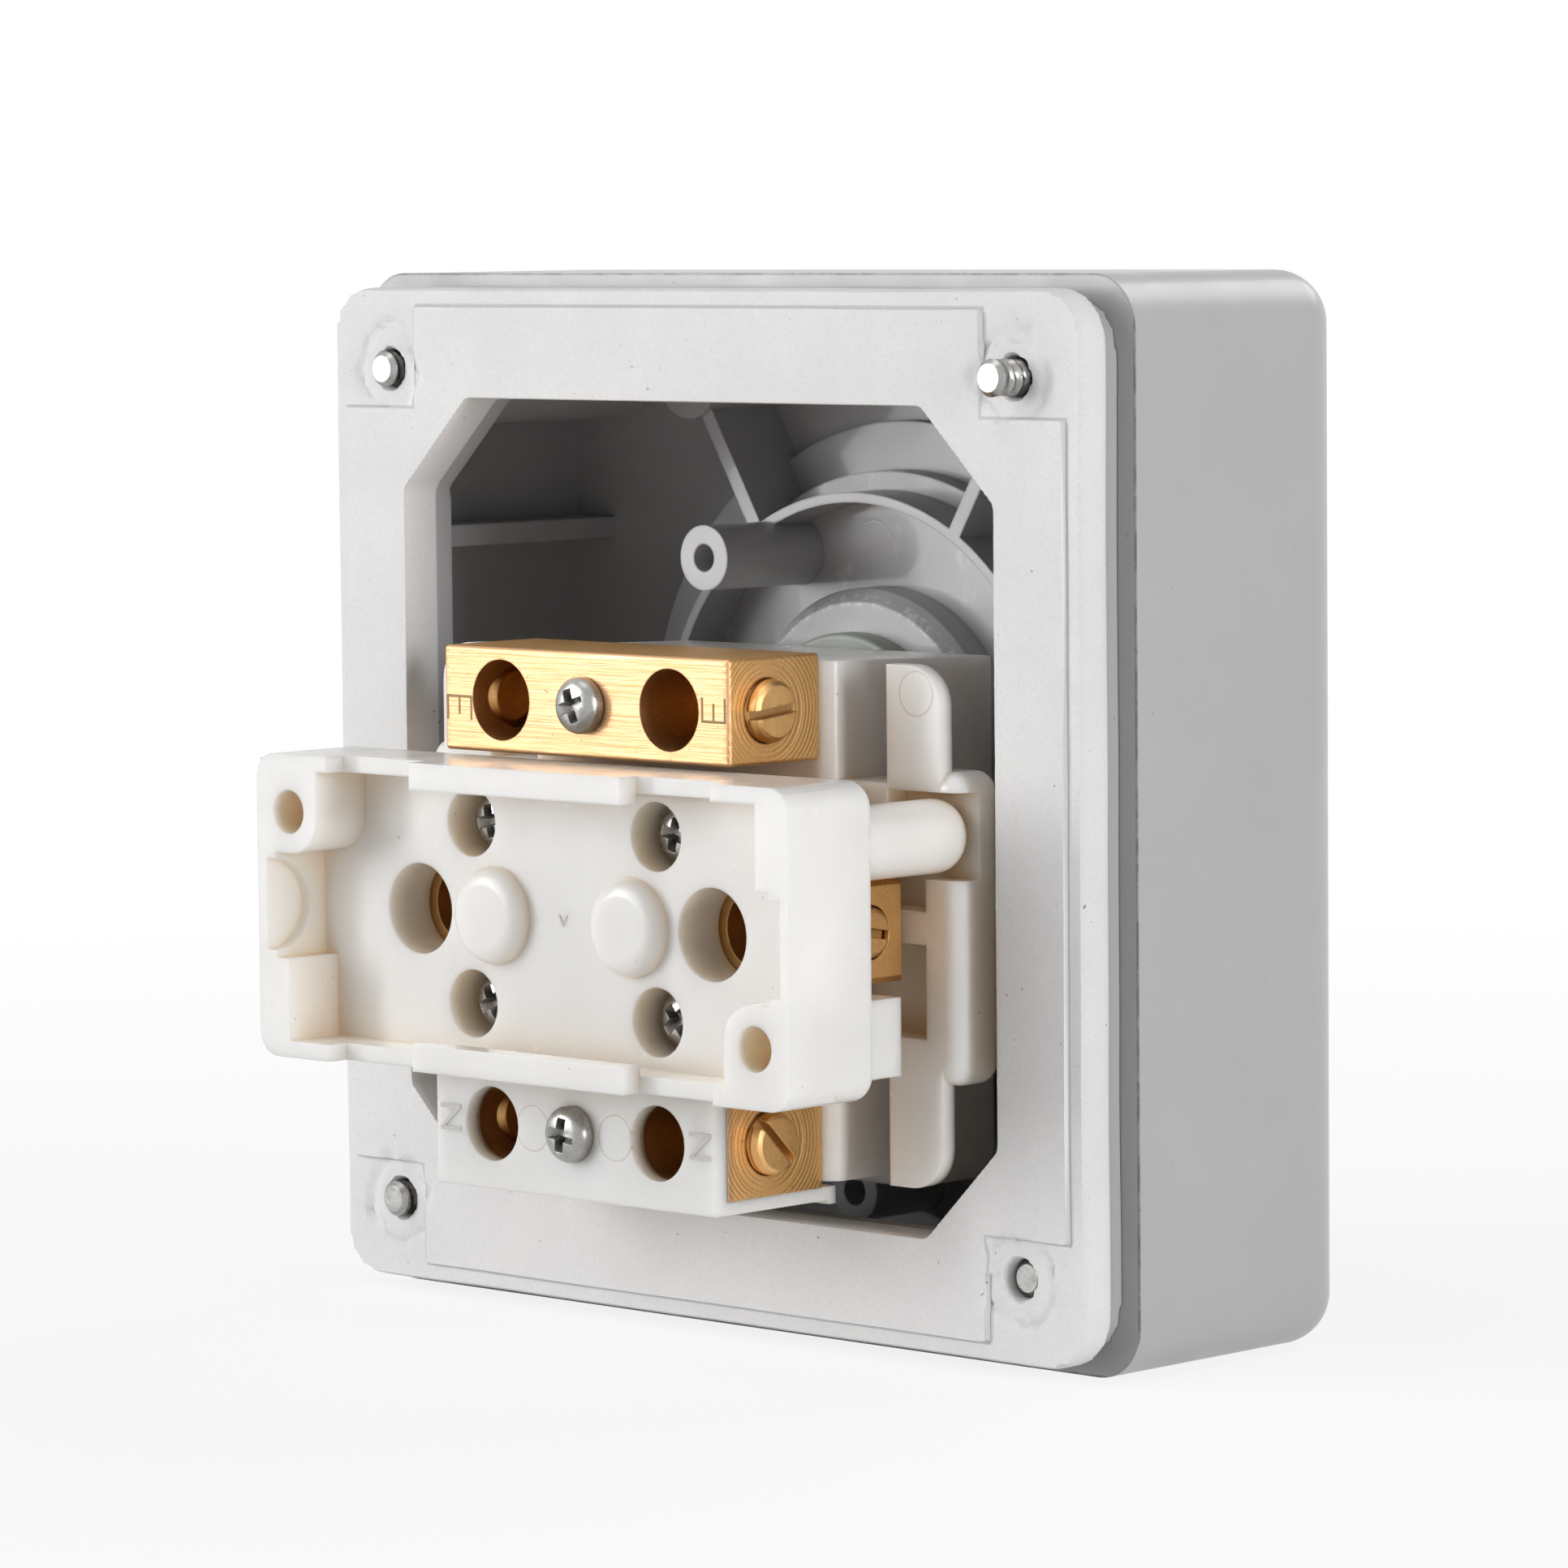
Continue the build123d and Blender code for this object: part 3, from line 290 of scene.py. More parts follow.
def white_material():
    s = Shader("white_plastic")
    base = s.cloudy(0.08, 3, (0.83, 0.815, 0.79), (0.87, 0.86, 0.84))
    # painted shade: a warm tone in corners and in the block's depth, from ambient occlusion, stands
    # in for light that has passed through the plastic
    base = s.mix(s.ramp(s.crevice(6.0), 0.3, 0.9, 0.0, 0.7), base, (0.78, 0.67, 0.52))
    base = s.mix(s.ramp(s.crevice(30.0), 0.5, 0.9, 0.0, 0.8), base, (0.86, 0.70, 0.52))
    speck = s.ramp(s.noise(1.5, 1), 0.80, 0.815)
    base = s.tint(base, speck, 0.7, (0.26, 0.15, 0.09))
    grime = s.ramp(s.noise(0.35, 5, 0.7), 0.66, 0.78)
    base = s.tint(base, grime, 0.2, (0.55, 0.46, 0.36))
    scratch = s.ramp(s.noise(0.5, 2, 0.5, (3.0, 1.0, 0.25)), 0.66, 0.70)
    # ejector circles on the ears and on the neutral carrier
    circles = s.add(*(s.circle(x * side, z, radius, y)
                      for x, z, radius, y in ((EAR_X, MECH_Z + EAR_RISE, 2.06, EAR_FACE),
                                              (5.5, NEUTRAL_Z, 2.15, CARRIER_FACE))
                      for side in (1, -1)))
    base = s.tint(base, circles, 0.4, (0.45, 0.30, 0.22))
    s.set(Base_Color=base, Roughness=s.gloss(0.3, 0.18, 0.28))
    s.set(Subsurface_Weight=0.9, Subsurface_Radius=(1.0, 0.92, 0.84), Subsurface_Scale=4.0 * MM)
    height = s.add(s.times(s.noise(0.35, 2), 0.8), s.times(s.noise(2.5, 2), 0.2),
                   s.times(scratch, -0.3), s.times(circles, -1.0))
    s.bump(height, strength=0.08, distance=0.3, edge=0.3)
    return s.mat


def brass_material(name, lines, clamp_z=None):
    """Brass with fine lines; a bar also has marks round its clamp screws, at the height clamp_z."""
    s = Shader(name)
    drawn = s.noise(1.0, 3, 0.6, lines)
    base = s.cloudy(0.12, 4, (0.74, 0.43, 0.16), (0.81, 0.50, 0.22))
    if clamp_z is not None:
        # painted highlight tone: the drawn face with the wire holes, where the lamps' highlight
        # falls, is made duller than the sawn ends
        face_tone_for_highlight = s.ramp(s.y, BAR_FACE - 0.5, BAR_FACE - 0.2, 0.0, 0.85)
        base = s.mix(face_tone_for_highlight, base, (0.60, 0.365, 0.21))
    base = s.mix(s.ramp(drawn, 0.48, 0.68, 0.0, 0.55), base, (0.52, 0.28, 0.10))
    pit = s.ramp(s.noise(1.7, 2), 0.70, 0.75)
    base = s.tint(base, pit, 0.6, (0.24, 0.14, 0.05))
    # painted shade: darker, duller brass in the holes and corners, from ambient occlusion
    base = s.mix(s.ramp(s.crevice(9.0), 0.35, 0.9, 0.0, 0.62), base, (0.32, 0.20, 0.08))
    height = s.add(s.times(drawn, 0.7), s.times(pit, -0.4))
    rough = s.ramp(drawn, 0.25, 0.75, 0.34, 0.5)
    if clamp_z is not None:
        # turned marks and a round score line on the sawn ends; the neutral bar is the shorter one
        turn = s.far(s.y, s.z, BAR_CLAMP_Y, clamp_z)
        end = s.ramp(s.math("ABSOLUTE", s.x), NEUTRAL_END - 0.5, NEUTRAL_END - 0.2)
        groove = s.math("SINE", s.times(turn, 14.0))
        score = s.band(turn, 4.55, 0.08, 0.06)
        height = s.add(height, s.times(groove, end, 0.25), s.times(score, end, -0.9))
        rough = s.add(rough, s.times(end, 0.06))
    s.set(Base_Color=base, Metallic=1.0, Roughness=rough)
    s.bump(height, strength=0.3, distance=0.12, edge=0.2)
    return s.mat


def steel_material():
    s = Shader("zinc_steel")
    base = s.cloudy(0.8, 4, (0.31, 0.305, 0.295), (0.41, 0.405, 0.395))
    # painted shade: near-black in the cross recesses and tight corners, from ambient occlusion
    base = s.mix(s.ramp(s.crevice(0.9), 0.2, 0.8, 0.0, 0.85), base, (0.07, 0.06, 0.05))
    s.set(Base_Color=base, Metallic=1.0, Roughness=s.gloss(2.0, 0.24, 0.36))
    s.bump(s.noise(4.0, 3), strength=0.04, distance=0.08, edge=0.12)
    return s.mat


def plain_plastic(name, dark, pale, rough, edge):
    s = Shader(name)
    base = s.cloudy(0.15, 4, dark, pale)
    s.set(Base_Color=base, Roughness=s.gloss(0.6, rough - 0.06, rough + 0.08))
    s.bump(s.noise(2.0, 3), strength=0.08, distance=0.25, edge=edge)
    return s.mat


def handle_material():
    s = Shader("handle_plastic")
    base = s.cloudy(0.2, 4, (0.315, 0.315, 0.325), (0.335, 0.335, 0.345))
    # white pointer line on the grip
    line = s.times(s.band(s.x, -13.0, 5.5, 0.15), s.band(s.z, SHAFT_Z, 0.8, 0.15),
                   s.ramp(s.y, GRIP_Y + 0.6, GRIP_Y + 0.3))
    base = s.mix(line, base, (0.80, 0.80, 0.79))
    scuff = s.ramp(s.noise(0.6, 4, 0.6, (0.3, 1.0, 1.0)), 0.62, 0.72)
    s.set(Base_Color=base, Roughness=s.gloss(0.6, 0.32, 0.42))
    height = s.add(s.times(s.noise(2.2, 2), 0.3), s.times(scuff, -0.2), s.times(line, -0.4))
    s.bump(height, strength=0.1, distance=0.2, edge=0.4)
    return s.mat


def copper_material():
    s = Shader("contact_copper")
    base = s.mix(s.noise(0.5, 4), (0.62, 0.33, 0.20), (0.80, 0.47, 0.30))
    s.set(Base_Color=base, Metallic=1.0, Roughness=s.gloss(1.5, 0.25, 0.45))
    s.bump(s.noise(3.0, 2), strength=0.1, distance=0.1, edge=0.15)
    return s.mat


# Stretch of the fine lines in the brass: along a bar, and round a screw that lies along X
ALONG_X = (0.12, 6.0, 6.0)
ROUND_X = (5.0, 0.6, 0.6)
housing = housing_material()
foam = gasket_material()
white = white_material()
brass_x = brass_material("drawn_brass", ALONG_X)
brass_earth = brass_material("earth_brass", ALONG_X, EARTH_Z)
brass_neutral = brass_material("neutral_brass", ALONG_X, NEUTRAL_Z)
brass_turned = brass_material("turned_brass", ROUND_X)
steel = steel_material()
copper = copper_material()
spindle = plain_plastic("spindle_plastic", (0.31, 0.345, 0.30), (0.37, 0.40, 0.355), 0.42, 0.3)
knob = handle_material()
rubber = plain_plastic("seal_rubber", (0.02, 0.02, 0.02), (0.04, 0.04, 0.04), 0.6, 0.1)
engraved = plain_plastic("engraved_line", (0.28, 0.165, 0.05), (0.38, 0.23, 0.08), 0.5, None)
moulded = plain_plastic("moulded_line", (0.50, 0.475, 0.45), (0.56, 0.54, 0.51), 0.4, None)
pad_print = plain_plastic("printed_white", (0.78, 0.78, 0.77), (0.84, 0.84, 0.83), 0.5, None)

# The CAD nodes that show as they are
LOOKS = {
    "front_housing": housing, "switch_body": white, "switch_front_plate": white,
    "terminal_cover": white, "neutral_carrier": white, "rotor": white,
    "line_terminal": brass_x, "load_terminal": brass_x,
    "earth_bar": brass_earth, "neutral_bar": brass_neutral,
    "line_contact": copper, "load_contact": copper, "moving_contact": copper,
    "rotary_handle": knob, "handle_spindle": spindle, "spindle_seal": rubber,
}


def dress(obj, mat):
    if not obj.material_slots:
        obj.data.materials.append(mat)
    for slot in obj.material_slots:
        slot.material = mat


for name, mat in LOOKS.items():
    dress(nodes[name], mat)


# Mesh helpers: they work in millimetres until gather makes the piece
def to_mesh(bm):
    bmesh.ops.recalc_face_normals(bm, faces=bm.faces)
    me = bpy.data.meshes.new("part")
    bm.to_mesh(me)
    bm.free()
    return me


def join_loops(bm, loops):
    """A closed solid from loops of vertices, low to high."""
    for a, b in zip(loops, loops[1:]):
        for i in range(len(a)):
            j = (i + 1) % len(a)
            bm.faces.new((a[i], a[j], b[j], b[i]))
    bm.faces.new(list(reversed(loops[0])))
    bm.faces.new(loops[-1])
    return to_mesh(bm)


def turned(rings, sides=40, thread=None):
    """A closed turned solid about +Z from (height, radius) rings, low to high.

    thread is (low, high, pitch, depth): between those heights the surface is a helical thread."""
    if thread:
        low, high, pitch, depth = thread
        radius = rings[1][1]
        steps = max(4, int((high - low) / pitch * 8))
        coil = [(low + (high - low) * i / steps, radius) for i in range(1, steps)]
        rings = [r for r in rings if r[0] <= low] + coil + [r for r in rings if r[0] >= high]
    bm = bmesh.new()
    loops = []
    for h, r in rings:
        loop = []
        for i in range(sides):
            a = 2 * math.pi * i / sides
            rr = r
            if thread and low < h < high:
                phase = (h / pitch - i / sides) % 1.0
                fade = min(1.0, (h - low) / pitch, (high - h) / pitch)
                rr = r - depth * fade * (1 - abs(2 * phase - 1)) ** 0.8
            loop.append(bm.verts.new((rr * math.cos(a), rr * math.sin(a), h)))
        loops.append(loop)
    return join_loops(bm, loops)


def prism(outline, low, high, shrink=1.0):
    """A closed prism along Z; its low end is the outline times shrink."""
    bm = bmesh.new()
    a = [bm.verts.new((x * shrink, y * shrink, low)) for x, y in outline]
    b = [bm.verts.new((x, y, high)) for x, y in outline]
    return join_loops(bm, [a, b])


def bar_outline(length, width):
    x, y = length / 2, width / 2
    return [(-x, -y), (x, -y), (x, y), (-x, y)]


def cross_outline(half, width):
    w = width / 2
    return [(half, -w), (half, w), (w, w), (w, half), (-w, half), (-w, w),
            (-half, w), (-half, -w), (-w, -w), (-w, -half), (w, -half), (w, -w)]


def cut(body, cutter):
    """body minus cutter, as a new mesh."""
    a = bpy.data.objects.new("cut_body", body)
    b = bpy.data.objects.new("cut_tool", cutter)
    for o in (a, b):
        scene.collection.objects.link(o)
    m = a.modifiers.new("cut", "BOOLEAN")
    m.operation = "DIFFERENCE"
    m.solver = "EXACT"
    m.object = b
    dg = bpy.context.evaluated_depsgraph_get()
    me = bpy.data.meshes.new_from_object(a.evaluated_get(dg))
    for o in (a, b):
        bpy.data.objects.remove(o)
    return me


def smooth(me, angle):
    """Shade smooth, apart from edges sharper than the angle in degrees."""
    for p in me.polygons:
        p.use_smooth = True
    me.set_sharp_from_angle(angle=math.radians(angle))


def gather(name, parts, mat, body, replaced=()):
    """One piece from (mesh, matrix in millimetres) pairs, riding on a body."""
    bm = bmesh.new()
    for me, place in parts:
        one = bmesh.new()
        one.from_mesh(me)
        one.transform(place)
        whole = bpy.data.meshes.new("moved")
        one.to_mesh(whole)
        one.free()
        bm.from_mesh(whole)
    bm.transform(Matrix.Scale(MM, 4))
    bmesh.ops.recalc_face_normals(bm, faces=bm.faces)
    me = bpy.data.meshes.new(name)
    bm.to_mesh(me)
    bm.free()
    smooth(me, 32)
    obj = bpy.data.objects.new(name, me)
    scene.collection.objects.link(obj)
    dress(obj, mat)
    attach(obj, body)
    if replaced:
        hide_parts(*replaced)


def facing(x, y, z, towards, turn=0.0):
    """Puts a part at (x, y, z) with its +Z along the axis towards, after a turn about its own Z."""
    angle, axis = {"+Y": (-90, "X"), "-Y": (90, "X"), "+X": (90, "Y"), "-X": (-90, "Y")}[towards]
    aim = Matrix.Rotation(math.radians(angle), 4, axis)
    return Matrix.Translation((x, y, z)) @ aim @ Matrix.Rotation(math.radians(turn), 4, "Z")


def pan_head(radius, height, shank_r, shank):
    """A pan-head screw: its seat is at height 0 and a cross recess is cut in its dome."""
    rings = [(-shank, shank_r - 0.3), (-shank + 0.4, shank_r), (-0.001, shank_r),
             (0, radius - 0.1), (0.12, radius)]
    steps = 8
    for i in range(1, steps + 1):
        a = i / steps * math.pi / 2
        rise = height * (0.3 + 0.7 * math.sin(a))
        rings.append((rise, radius * (0.28 + 0.72 * math.cos(a) ** 0.75)))
    recess = cross_outline(radius * 0.68, radius * 0.44)
    return cut(turned(rings, 48), prism(recess, height - 1.15, height + 0.2, 0.5))


def slotted(radius, length, pitch, slot_w, slot_d):
    """A headless clamp screw: its outer end is at height 0, and a thread runs down to -length."""
    start, end = -length + 0.6, -0.9
    rings = [(-length, radius - 0.7), (start, radius), (end, radius), (-0.25, radius - 0.25),
             (0, radius - 0.6)]
    rod = turned(rings, 44, (start, end, pitch, pitch * 0.45))
    return cut(rod, prism(bar_outline(2 * radius + 2, slot_w), -slot_d, 1.0))


# Screws, each with its own turn in degrees
head = pan_head(HEAD_R, HEAD_H, SHANK_R, SHANK)
WELL_SEAT, FIX_SEAT, HANDLE_SEAT = RIM + 19.2, RIM + 3.2, RIM - 17.0
gather("terminal_cover_pan_screws",
       [(head, facing(sx * WELL_X, WELL_SEAT, MECH_Z + sz * WELL_Z, "+Y", turn))
        for sx, sz, turn in ((1, 1, 12), (-1, 1, -14), (1, -1, 28), (-1, -1, 40))],
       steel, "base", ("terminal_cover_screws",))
gather("earth_pan_screw", [(head, facing(0, BAR_FACE, EARTH_Z, "+Y", 18))],
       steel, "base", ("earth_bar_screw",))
gather("neutral_pan_screw", [(head, facing(0, CARRIER_FACE, NEUTRAL_Z, "+Y", -8))],
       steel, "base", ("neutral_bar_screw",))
gather("body_pan_screws",
       [(head, facing(side * FIX_X, FIX_SEAT, MECH_Z - side * FIX_Z, "+Y", turn))
        for side, turn in ((-1, 20), (1, 65))],
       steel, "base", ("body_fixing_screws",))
gather("handle_pan_screw", [(head, facing(0, HANDLE_SEAT, SHAFT_Z, "+Y", 0))],
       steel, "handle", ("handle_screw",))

# Corner screws: three threaded tips stand out of the gasket's rear face, and one lies below it
THREAD_LOW, THREAD_HIGH = -11.0, -0.45
THREAD_PITCH, THREAD_DEPTH = 1.1, 0.42
TIP_R = 1.3
corner_rings = [(-CORNER_LENGTH, CORNER_R), (THREAD_LOW, CORNER_R),
                (THREAD_HIGH, CORNER_R), (0, TIP_R)]
corner_rod = turned(corner_rings, 32, (THREAD_LOW, THREAD_HIGH, THREAD_PITCH, THREAD_DEPTH))
front_head = pan_head(CORNER_HEAD_R, CORNER_HEAD_H, shank_r=1.7, shank=0.2)
corner_parts = []
for sx, sz, tip, turn in ((-1, 1, 2.9, 40), (1, 1, 0.6, 0), (1, -1, 0.6, 75), (-1, -1, -1.6, 20)):
    x, z = sx * SCREW_AT, sz * SCREW_AT
    corner_parts.append((corner_rod, facing(x, tip, z, "+Y", turn)))
    corner_parts.append((front_head, facing(x, tip - CORNER_LENGTH, z, "-Y", turn)))
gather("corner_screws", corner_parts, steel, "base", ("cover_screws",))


def clamp_pair(name, radius, end, out, inner, y, z, pitch, turns, replaced):
    """Two slotted screws that stand out of a bar's ends and reach in to inner."""
    tip = end + out
    rod = slotted(radius, tip - inner, pitch, slot_w=0.85, slot_d=1.25)
    parts = [(rod, facing(tip, y, z, "+X", turns[0])), (rod, facing(-tip, y, z, "-X", turns[1]))]
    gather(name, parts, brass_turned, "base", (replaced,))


clamp_pair("earth_slotted_screws", radius=2.98, end=BAR_END, out=1.5, inner=14.5,
           y=BAR_CLAMP_Y, z=EARTH_Z, pitch=0.8, turns=(30, 96),
           replaced="earth_clamp_screws")
clamp_pair("neutral_slotted_screws", radius=2.98, end=NEUTRAL_END, out=1.5, inner=14.05,
           y=BAR_CLAMP_Y, z=NEUTRAL_Z, pitch=0.8, turns=(70, 45),
           replaced="neutral_clamp_screws")
clamp_pair("terminal_slotted_screws", radius=2.48, end=TERMINAL_END, out=0.6, inner=22.4,
           y=TERMINAL_CLAMP_Y, z=MECH_Z, pitch=0.7, turns=(20, 80),
           replaced="terminal_clamp_screws")


# Foam gasket: the CAD shape with soft edges, waves and dents
def crisp_step(p):
    """Pull a point beside the raised face's outline onto its upper or lower edge."""
    ax, az = abs(p.x), abs(p.z)
    out = max(ax, az)
    side = FACE - out
    notch = max(NOTCH - ax, NOTCH - az)
    inside = min(side, notch)
    if out < SCREW_AT - 0.2 or out > FACE + 1.2:
        return
    p.y = 0.0 if inside >= 0 else -RAISE
    if abs(inside) < VOXEL:
        line = FACE if side < notch else NOTCH
        place = line if inside >= 0 else line + 0.12
        if (ax > az) == (side < notch):
            p.x = math.copysign(place, p.x)
        else:
            p.z = math.copysign(place, p.z)


def foam_gasket():
    me = nodes["rear_gasket"].data.copy()
    obj = bpy.data.objects.new("foam_gasket", me)
    scene.collection.objects.link(obj)
    weld = obj.modifiers.new("weld", "WELD")
    weld.merge_threshold = 0.002 * MM
    mesh_up = obj.modifiers.new("remesh", "REMESH")
    mesh_up.mode = "VOXEL"
    mesh_up.voxel_size = VOXEL * MM
    soft = obj.modifiers.new("soft", "SMOOTH")
    soft.factor = 0.5
    soft.iterations = 2
    dg = bpy.context.evaluated_depsgraph_get()
    done = bpy.data.meshes.new_from_object(obj.evaluated_get(dg))
    obj.modifiers.clear()
    obj.data = done
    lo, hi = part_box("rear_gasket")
    edge = FACE - 0.4
    for v in done.vertices:
        p = v.co / MM
        # the rear face sinks a little in broad waves, more in torn rings round the screws
        high = max(0.0, min(1.0, (p.y + 3.0) / 2.0))
        wave = 0.5 + 0.5 * noise.noise(Vector((p.x, 3.0, p.z)) * 0.09)
        grain = noise.noise(p * 1.6)
        ring = math.hypot(abs(p.x) - SCREW_AT, abs(p.z) - SCREW_AT)
        rough = noise.noise(Vector((p.x, 9.0, p.z)) * 0.45)
        dent = math.exp(-((ring - 4.1 - 0.9 * rough) / 0.5) ** 2) * max(0.0, 0.6 + 0.8 * rough)
        if p.y > -1.5 * RAISE:
            crisp_step(p)
        p.y -= high * (0.14 * wave + 0.03 * (1 + grain) + 0.45 * dent)
        # the outer sides draw in by uneven amounts
        side = noise.noise(Vector((p.x, 0.0, p.z)) * 0.06 + Vector((7.0, 0.0, 0.0)))
        pull = 0.12 * (1 + side)
        draw_x, draw_z = abs(p.x) > edge, abs(p.z) > edge
        p.x -= math.copysign(pull, p.x) if draw_x else 0.0
        p.z -= math.copysign(pull, p.z) if draw_z else 0.0
        v.co = [min(max(c, a), b) for c, a, b in zip(p * MM, lo, hi)]
    smooth(done, 40)
    dress(obj, foam)
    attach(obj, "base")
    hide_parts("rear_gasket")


foam_gasket()


# Marks made of thin strokes lying on a face
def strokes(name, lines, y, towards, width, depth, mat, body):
    """Thin bars along (x1, z1, x2, z2) lines on the face at y; towards is +1 or -1 along Y.

    Bars that cross have slightly different heights, so that no two faces coincide."""
    parts = []
    spin = Matrix.Rotation(math.radians(-90 * towards), 4, "X")
    for i, (x1, z1, x2, z2) in enumerate(lines):
        run = Vector((x2 - x1, 0, z2 - z1))
        bar = prism(bar_outline(run.length + width, width), -0.1, depth + 0.004 * (i % 5))
        lean = Matrix.Rotation(-math.atan2(run.z, run.x), 4, "Y")
        place = Matrix.Translation(((x1 + x2) / 2, y, (z1 + z2) / 2)) @ lean
        parts.append((bar, place @ spin))
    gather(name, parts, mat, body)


def lying_e(x, z, w, h, up):
    """An E lying on its side: a spine along X and three arms, the middle one shorter."""
    s = 1 if up else -1
    base = z - s * h / 2
    arms = [(x + k * w / 2, base, x + k * w / 2, base + s * h * (0.75 if k == 0 else 1.0))
            for k in (-1, 0, 1)]
    return [(x - w / 2, base, x + w / 2, base)] + arms


def lying_n(x, z, w, h):
    """An N lying on its side."""
    left, right, top, foot = x - w / 2, x + w / 2, z + h / 2, z - h / 2
    return [(left, top, right, top), (left, top, right, foot), (left, foot, right, foot)]


def letter(kind, x, z, w, h):
    """An upright O, N or F as seen from the front, from its lower left corner."""
    if kind == "O":
        angles = [math.radians(a) for a in range(0, 361, 20)]
        ring = [(x + w / 2 + w / 2 * math.cos(a), z + h / 2 + h / 2 * math.sin(a)) for a in angles]
        return [(*p, *q) for p, q in zip(ring, ring[1:])]
    if kind == "N":
        return [(x, z, x, z + h), (x, z + h, x + w, z), (x + w, z, x + w, z + h)]
    arm = z + h * 0.52
    return [(x, z, x, z + h), (x, z + h, x + w, z + h), (x, arm, x + w * 0.8, arm)]


def word(text, x, z):
    """Letters in a row, centred on (x, z)."""
    w, h, gap = 2.6, 4.2, 1.5
    left = x - (len(text) * w + (len(text) - 1) * gap) / 2
    return [bar for i, kind in enumerate(text)
            for bar in letter(kind, left + i * (w + gap), z - h / 2, w, h)]


earth_lines = (lying_e(16.8, EARTH_Z - 0.9, w=3.2, h=2.1, up=False)
               + lying_e(-16.9, EARTH_Z + 0.2, w=2.9, h=2.1, up=True))
strokes("earth_marks", earth_lines, BAR_FACE, towards=1, width=0.26, depth=0.015,
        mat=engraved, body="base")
neutral_lines = [bar for x in (16.6, -16.6) for bar in lying_n(x, NEUTRAL_Z + 0.2, w=2.4, h=2.1)]
strokes("neutral_marks", neutral_lines, CARRIER_FACE, towards=1, width=0.34, depth=0.09,
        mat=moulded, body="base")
switch_lines = word("OFF", -38.2, SHAFT_Z) + word("ON", 0.0, SHAFT_Z + 36.5)
strokes("switch_marks", switch_lines, FRONT, towards=-1, width=0.6, depth=0.02,
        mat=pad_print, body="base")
mould_lines = [(x, MECH_Z + 0.5, 0, MECH_Z - 0.4) for x in (-0.5, 0.5)]
strokes("mould_mark", mould_lines, TRAY_FLOOR, towards=1, width=0.2, depth=0.05,
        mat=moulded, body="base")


# Stage, light and camera, in metres
def white_share(tree):
    """1 for camera, glossy and transmission rays, 0 for the light that falls on the object."""
    path = tree.nodes.new("ShaderNodeLightPath")
    total = path.outputs["Is Camera Ray"]
    for name in ("Is Glossy Ray", "Is Transmission Ray"):
        m = tree.nodes.new("ShaderNodeMath")
        m.operation = "MAXIMUM"
        tree.links.new(total, m.inputs[0])
        tree.links.new(path.outputs[name], m.inputs[1])
        total = m.outputs[0]
    return total


def floor():
    me = bpy.data.meshes.new("floor")
    w, z = 6.0, cad_lo.z
    me.from_pydata([(-w, -w, z), (w, -w, z), (w, w, z), (-w, w, z)], [], [(0, 1, 2, 3)])
    obj = bpy.data.objects.new("floor", me)
    scene.collection.objects.link(obj)
    mat = bpy.data.materials.new("floor_white")
    mat.use_nodes = True
    t = mat.node_tree
    t.nodes.clear()
    out = t.nodes.new("ShaderNodeOutputMaterial")
    mixed = t.nodes.new("ShaderNodeMixShader")
    paint = t.nodes.new("ShaderNodeBsdfDiffuse")
    paint.inputs["Color"].default_value = (0.9, 0.9, 0.9, 1)
    glow = t.nodes.new("ShaderNodeEmission")
    glow.inputs["Color"].default_value = (1, 1, 1, 1)
    # the shadow lies near the object, and the floor fades to white further out
    where = t.nodes.new("ShaderNodeNewGeometry")
    away = t.nodes.new("ShaderNodeVectorMath")
    away.operation = "LENGTH"
    t.links.new(where.outputs["Position"], away.inputs[0])
    fade = t.nodes.new("ShaderNodeMapRange")
    for name, value in (("From Min", 0.08), ("From Max", 0.4), ("To Min", 0.84), ("To Max", 1.0)):
        fade.inputs[name].default_value = value
    t.links.new(away.outputs["Value"], fade.inputs["Value"])
    share = t.nodes.new("ShaderNodeMath")
    share.operation = "MULTIPLY"
    t.links.new(white_share(t), share.inputs[0])
    t.links.new(fade.outputs["Result"], share.inputs[1])
    t.links.new(share.outputs[0], mixed.inputs["Fac"])
    t.links.new(paint.outputs[0], mixed.inputs[1])
    t.links.new(glow.outputs[0], mixed.inputs[2])
    t.links.new(mixed.outputs[0], out.inputs["Surface"])
    me.materials.append(mat)


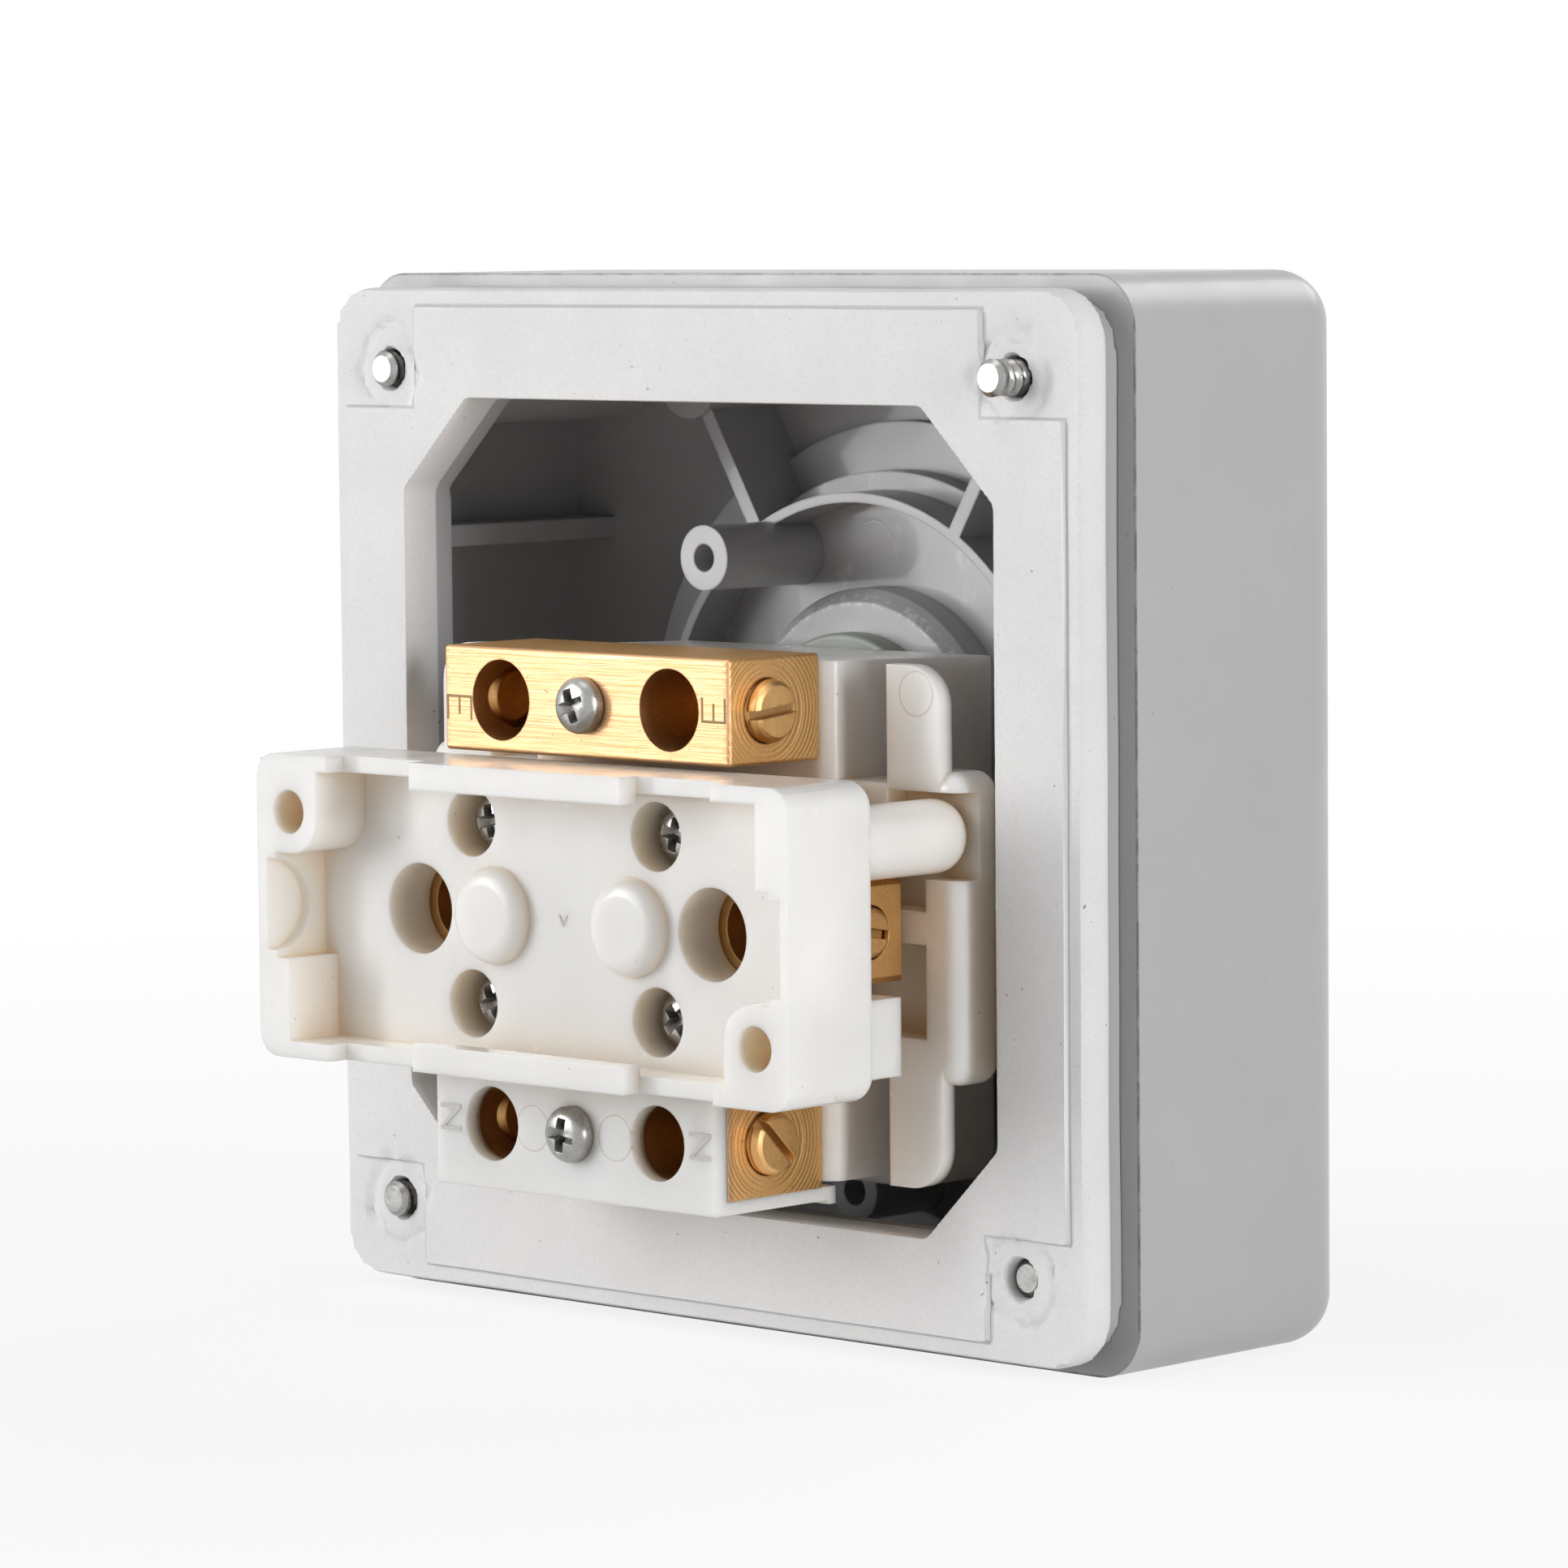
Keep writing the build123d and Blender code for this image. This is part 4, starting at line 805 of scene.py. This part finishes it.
def sky():
    """Dim as a light, and white where it is seen."""
    world = bpy.data.worlds.new("studio")
    scene.world = world
    world.use_nodes = True
    t = world.node_tree
    t.nodes.clear()
    out = t.nodes.new("ShaderNodeOutputWorld")
    mixed = t.nodes.new("ShaderNodeMixShader")
    t.links.new(white_share(t), mixed.inputs["Fac"])
    for i, strength in ((1, 0.12), (2, 1.0)):
        ground = t.nodes.new("ShaderNodeBackground")
        ground.inputs["Color"].default_value = (1, 1, 1, 1)
        ground.inputs["Strength"].default_value = strength
        t.links.new(ground.outputs[0], mixed.inputs[i])
    t.links.new(mixed.outputs[0], out.inputs["Surface"])


def lamp(name, place, width, height, watts):
    """A rectangular lamp that faces the origin."""
    data = bpy.data.lights.new(name, "AREA")
    data.shape = "RECTANGLE"
    data.size, data.size_y = width, height
    data.energy = watts
    obj = bpy.data.objects.new(name, data)
    obj.location = place
    obj.rotation_mode = "QUATERNION"
    obj.rotation_quaternion = (-Vector(place)).to_track_quat("-Z", "Y")
    scene.collection.objects.link(obj)


def camera():
    """The photograph's viewing angle, fitted to the object in it."""
    yaw, pitch, roll = (math.radians(a) for a in (43.74, 4.76, -0.54))
    place = Vector((-461.35, 468.97, 56.93)) * MM
    flat = math.cos(pitch)
    back = Vector((-math.sin(yaw) * flat, math.cos(yaw) * flat, math.sin(pitch)))
    right = Vector((0, 0, 1)).cross(back).normalized()
    up = back.cross(right)
    c, s = math.cos(roll), math.sin(roll)
    x, y = c * right + s * up, -s * right + c * up
    data = bpy.data.cameras.new("camera")
    data.sensor_width = 36.0
    data.lens = 159.7
    data.clip_start = 0.01
    data.clip_end = 50.0
    obj = bpy.data.objects.new("camera", data)
    scene.collection.objects.link(obj)
    obj.matrix_world = Matrix.Translation(place) @ Matrix((x, y, back)).transposed().to_4x4()
    scene.camera = obj


floor()
sky()
lamp("key", (0.58, 0.90, 0.40), width=0.8, height=0.8, watts=6.3)
lamp("left", (0.79, 0.82, 0.15), width=0.15, height=0.6, watts=3.6)
lamp("side", (-1.0, 0.10, 0.15), width=0.18, height=0.5, watts=5.9)
lamp("top", (0.1, 0.3, 1.0), width=0.5, height=0.5, watts=1.2)
lamp("front", (-0.15, -1.0, 0.8), width=0.7, height=0.7, watts=5.0)
camera()
scene.view_settings.view_transform = "Standard"
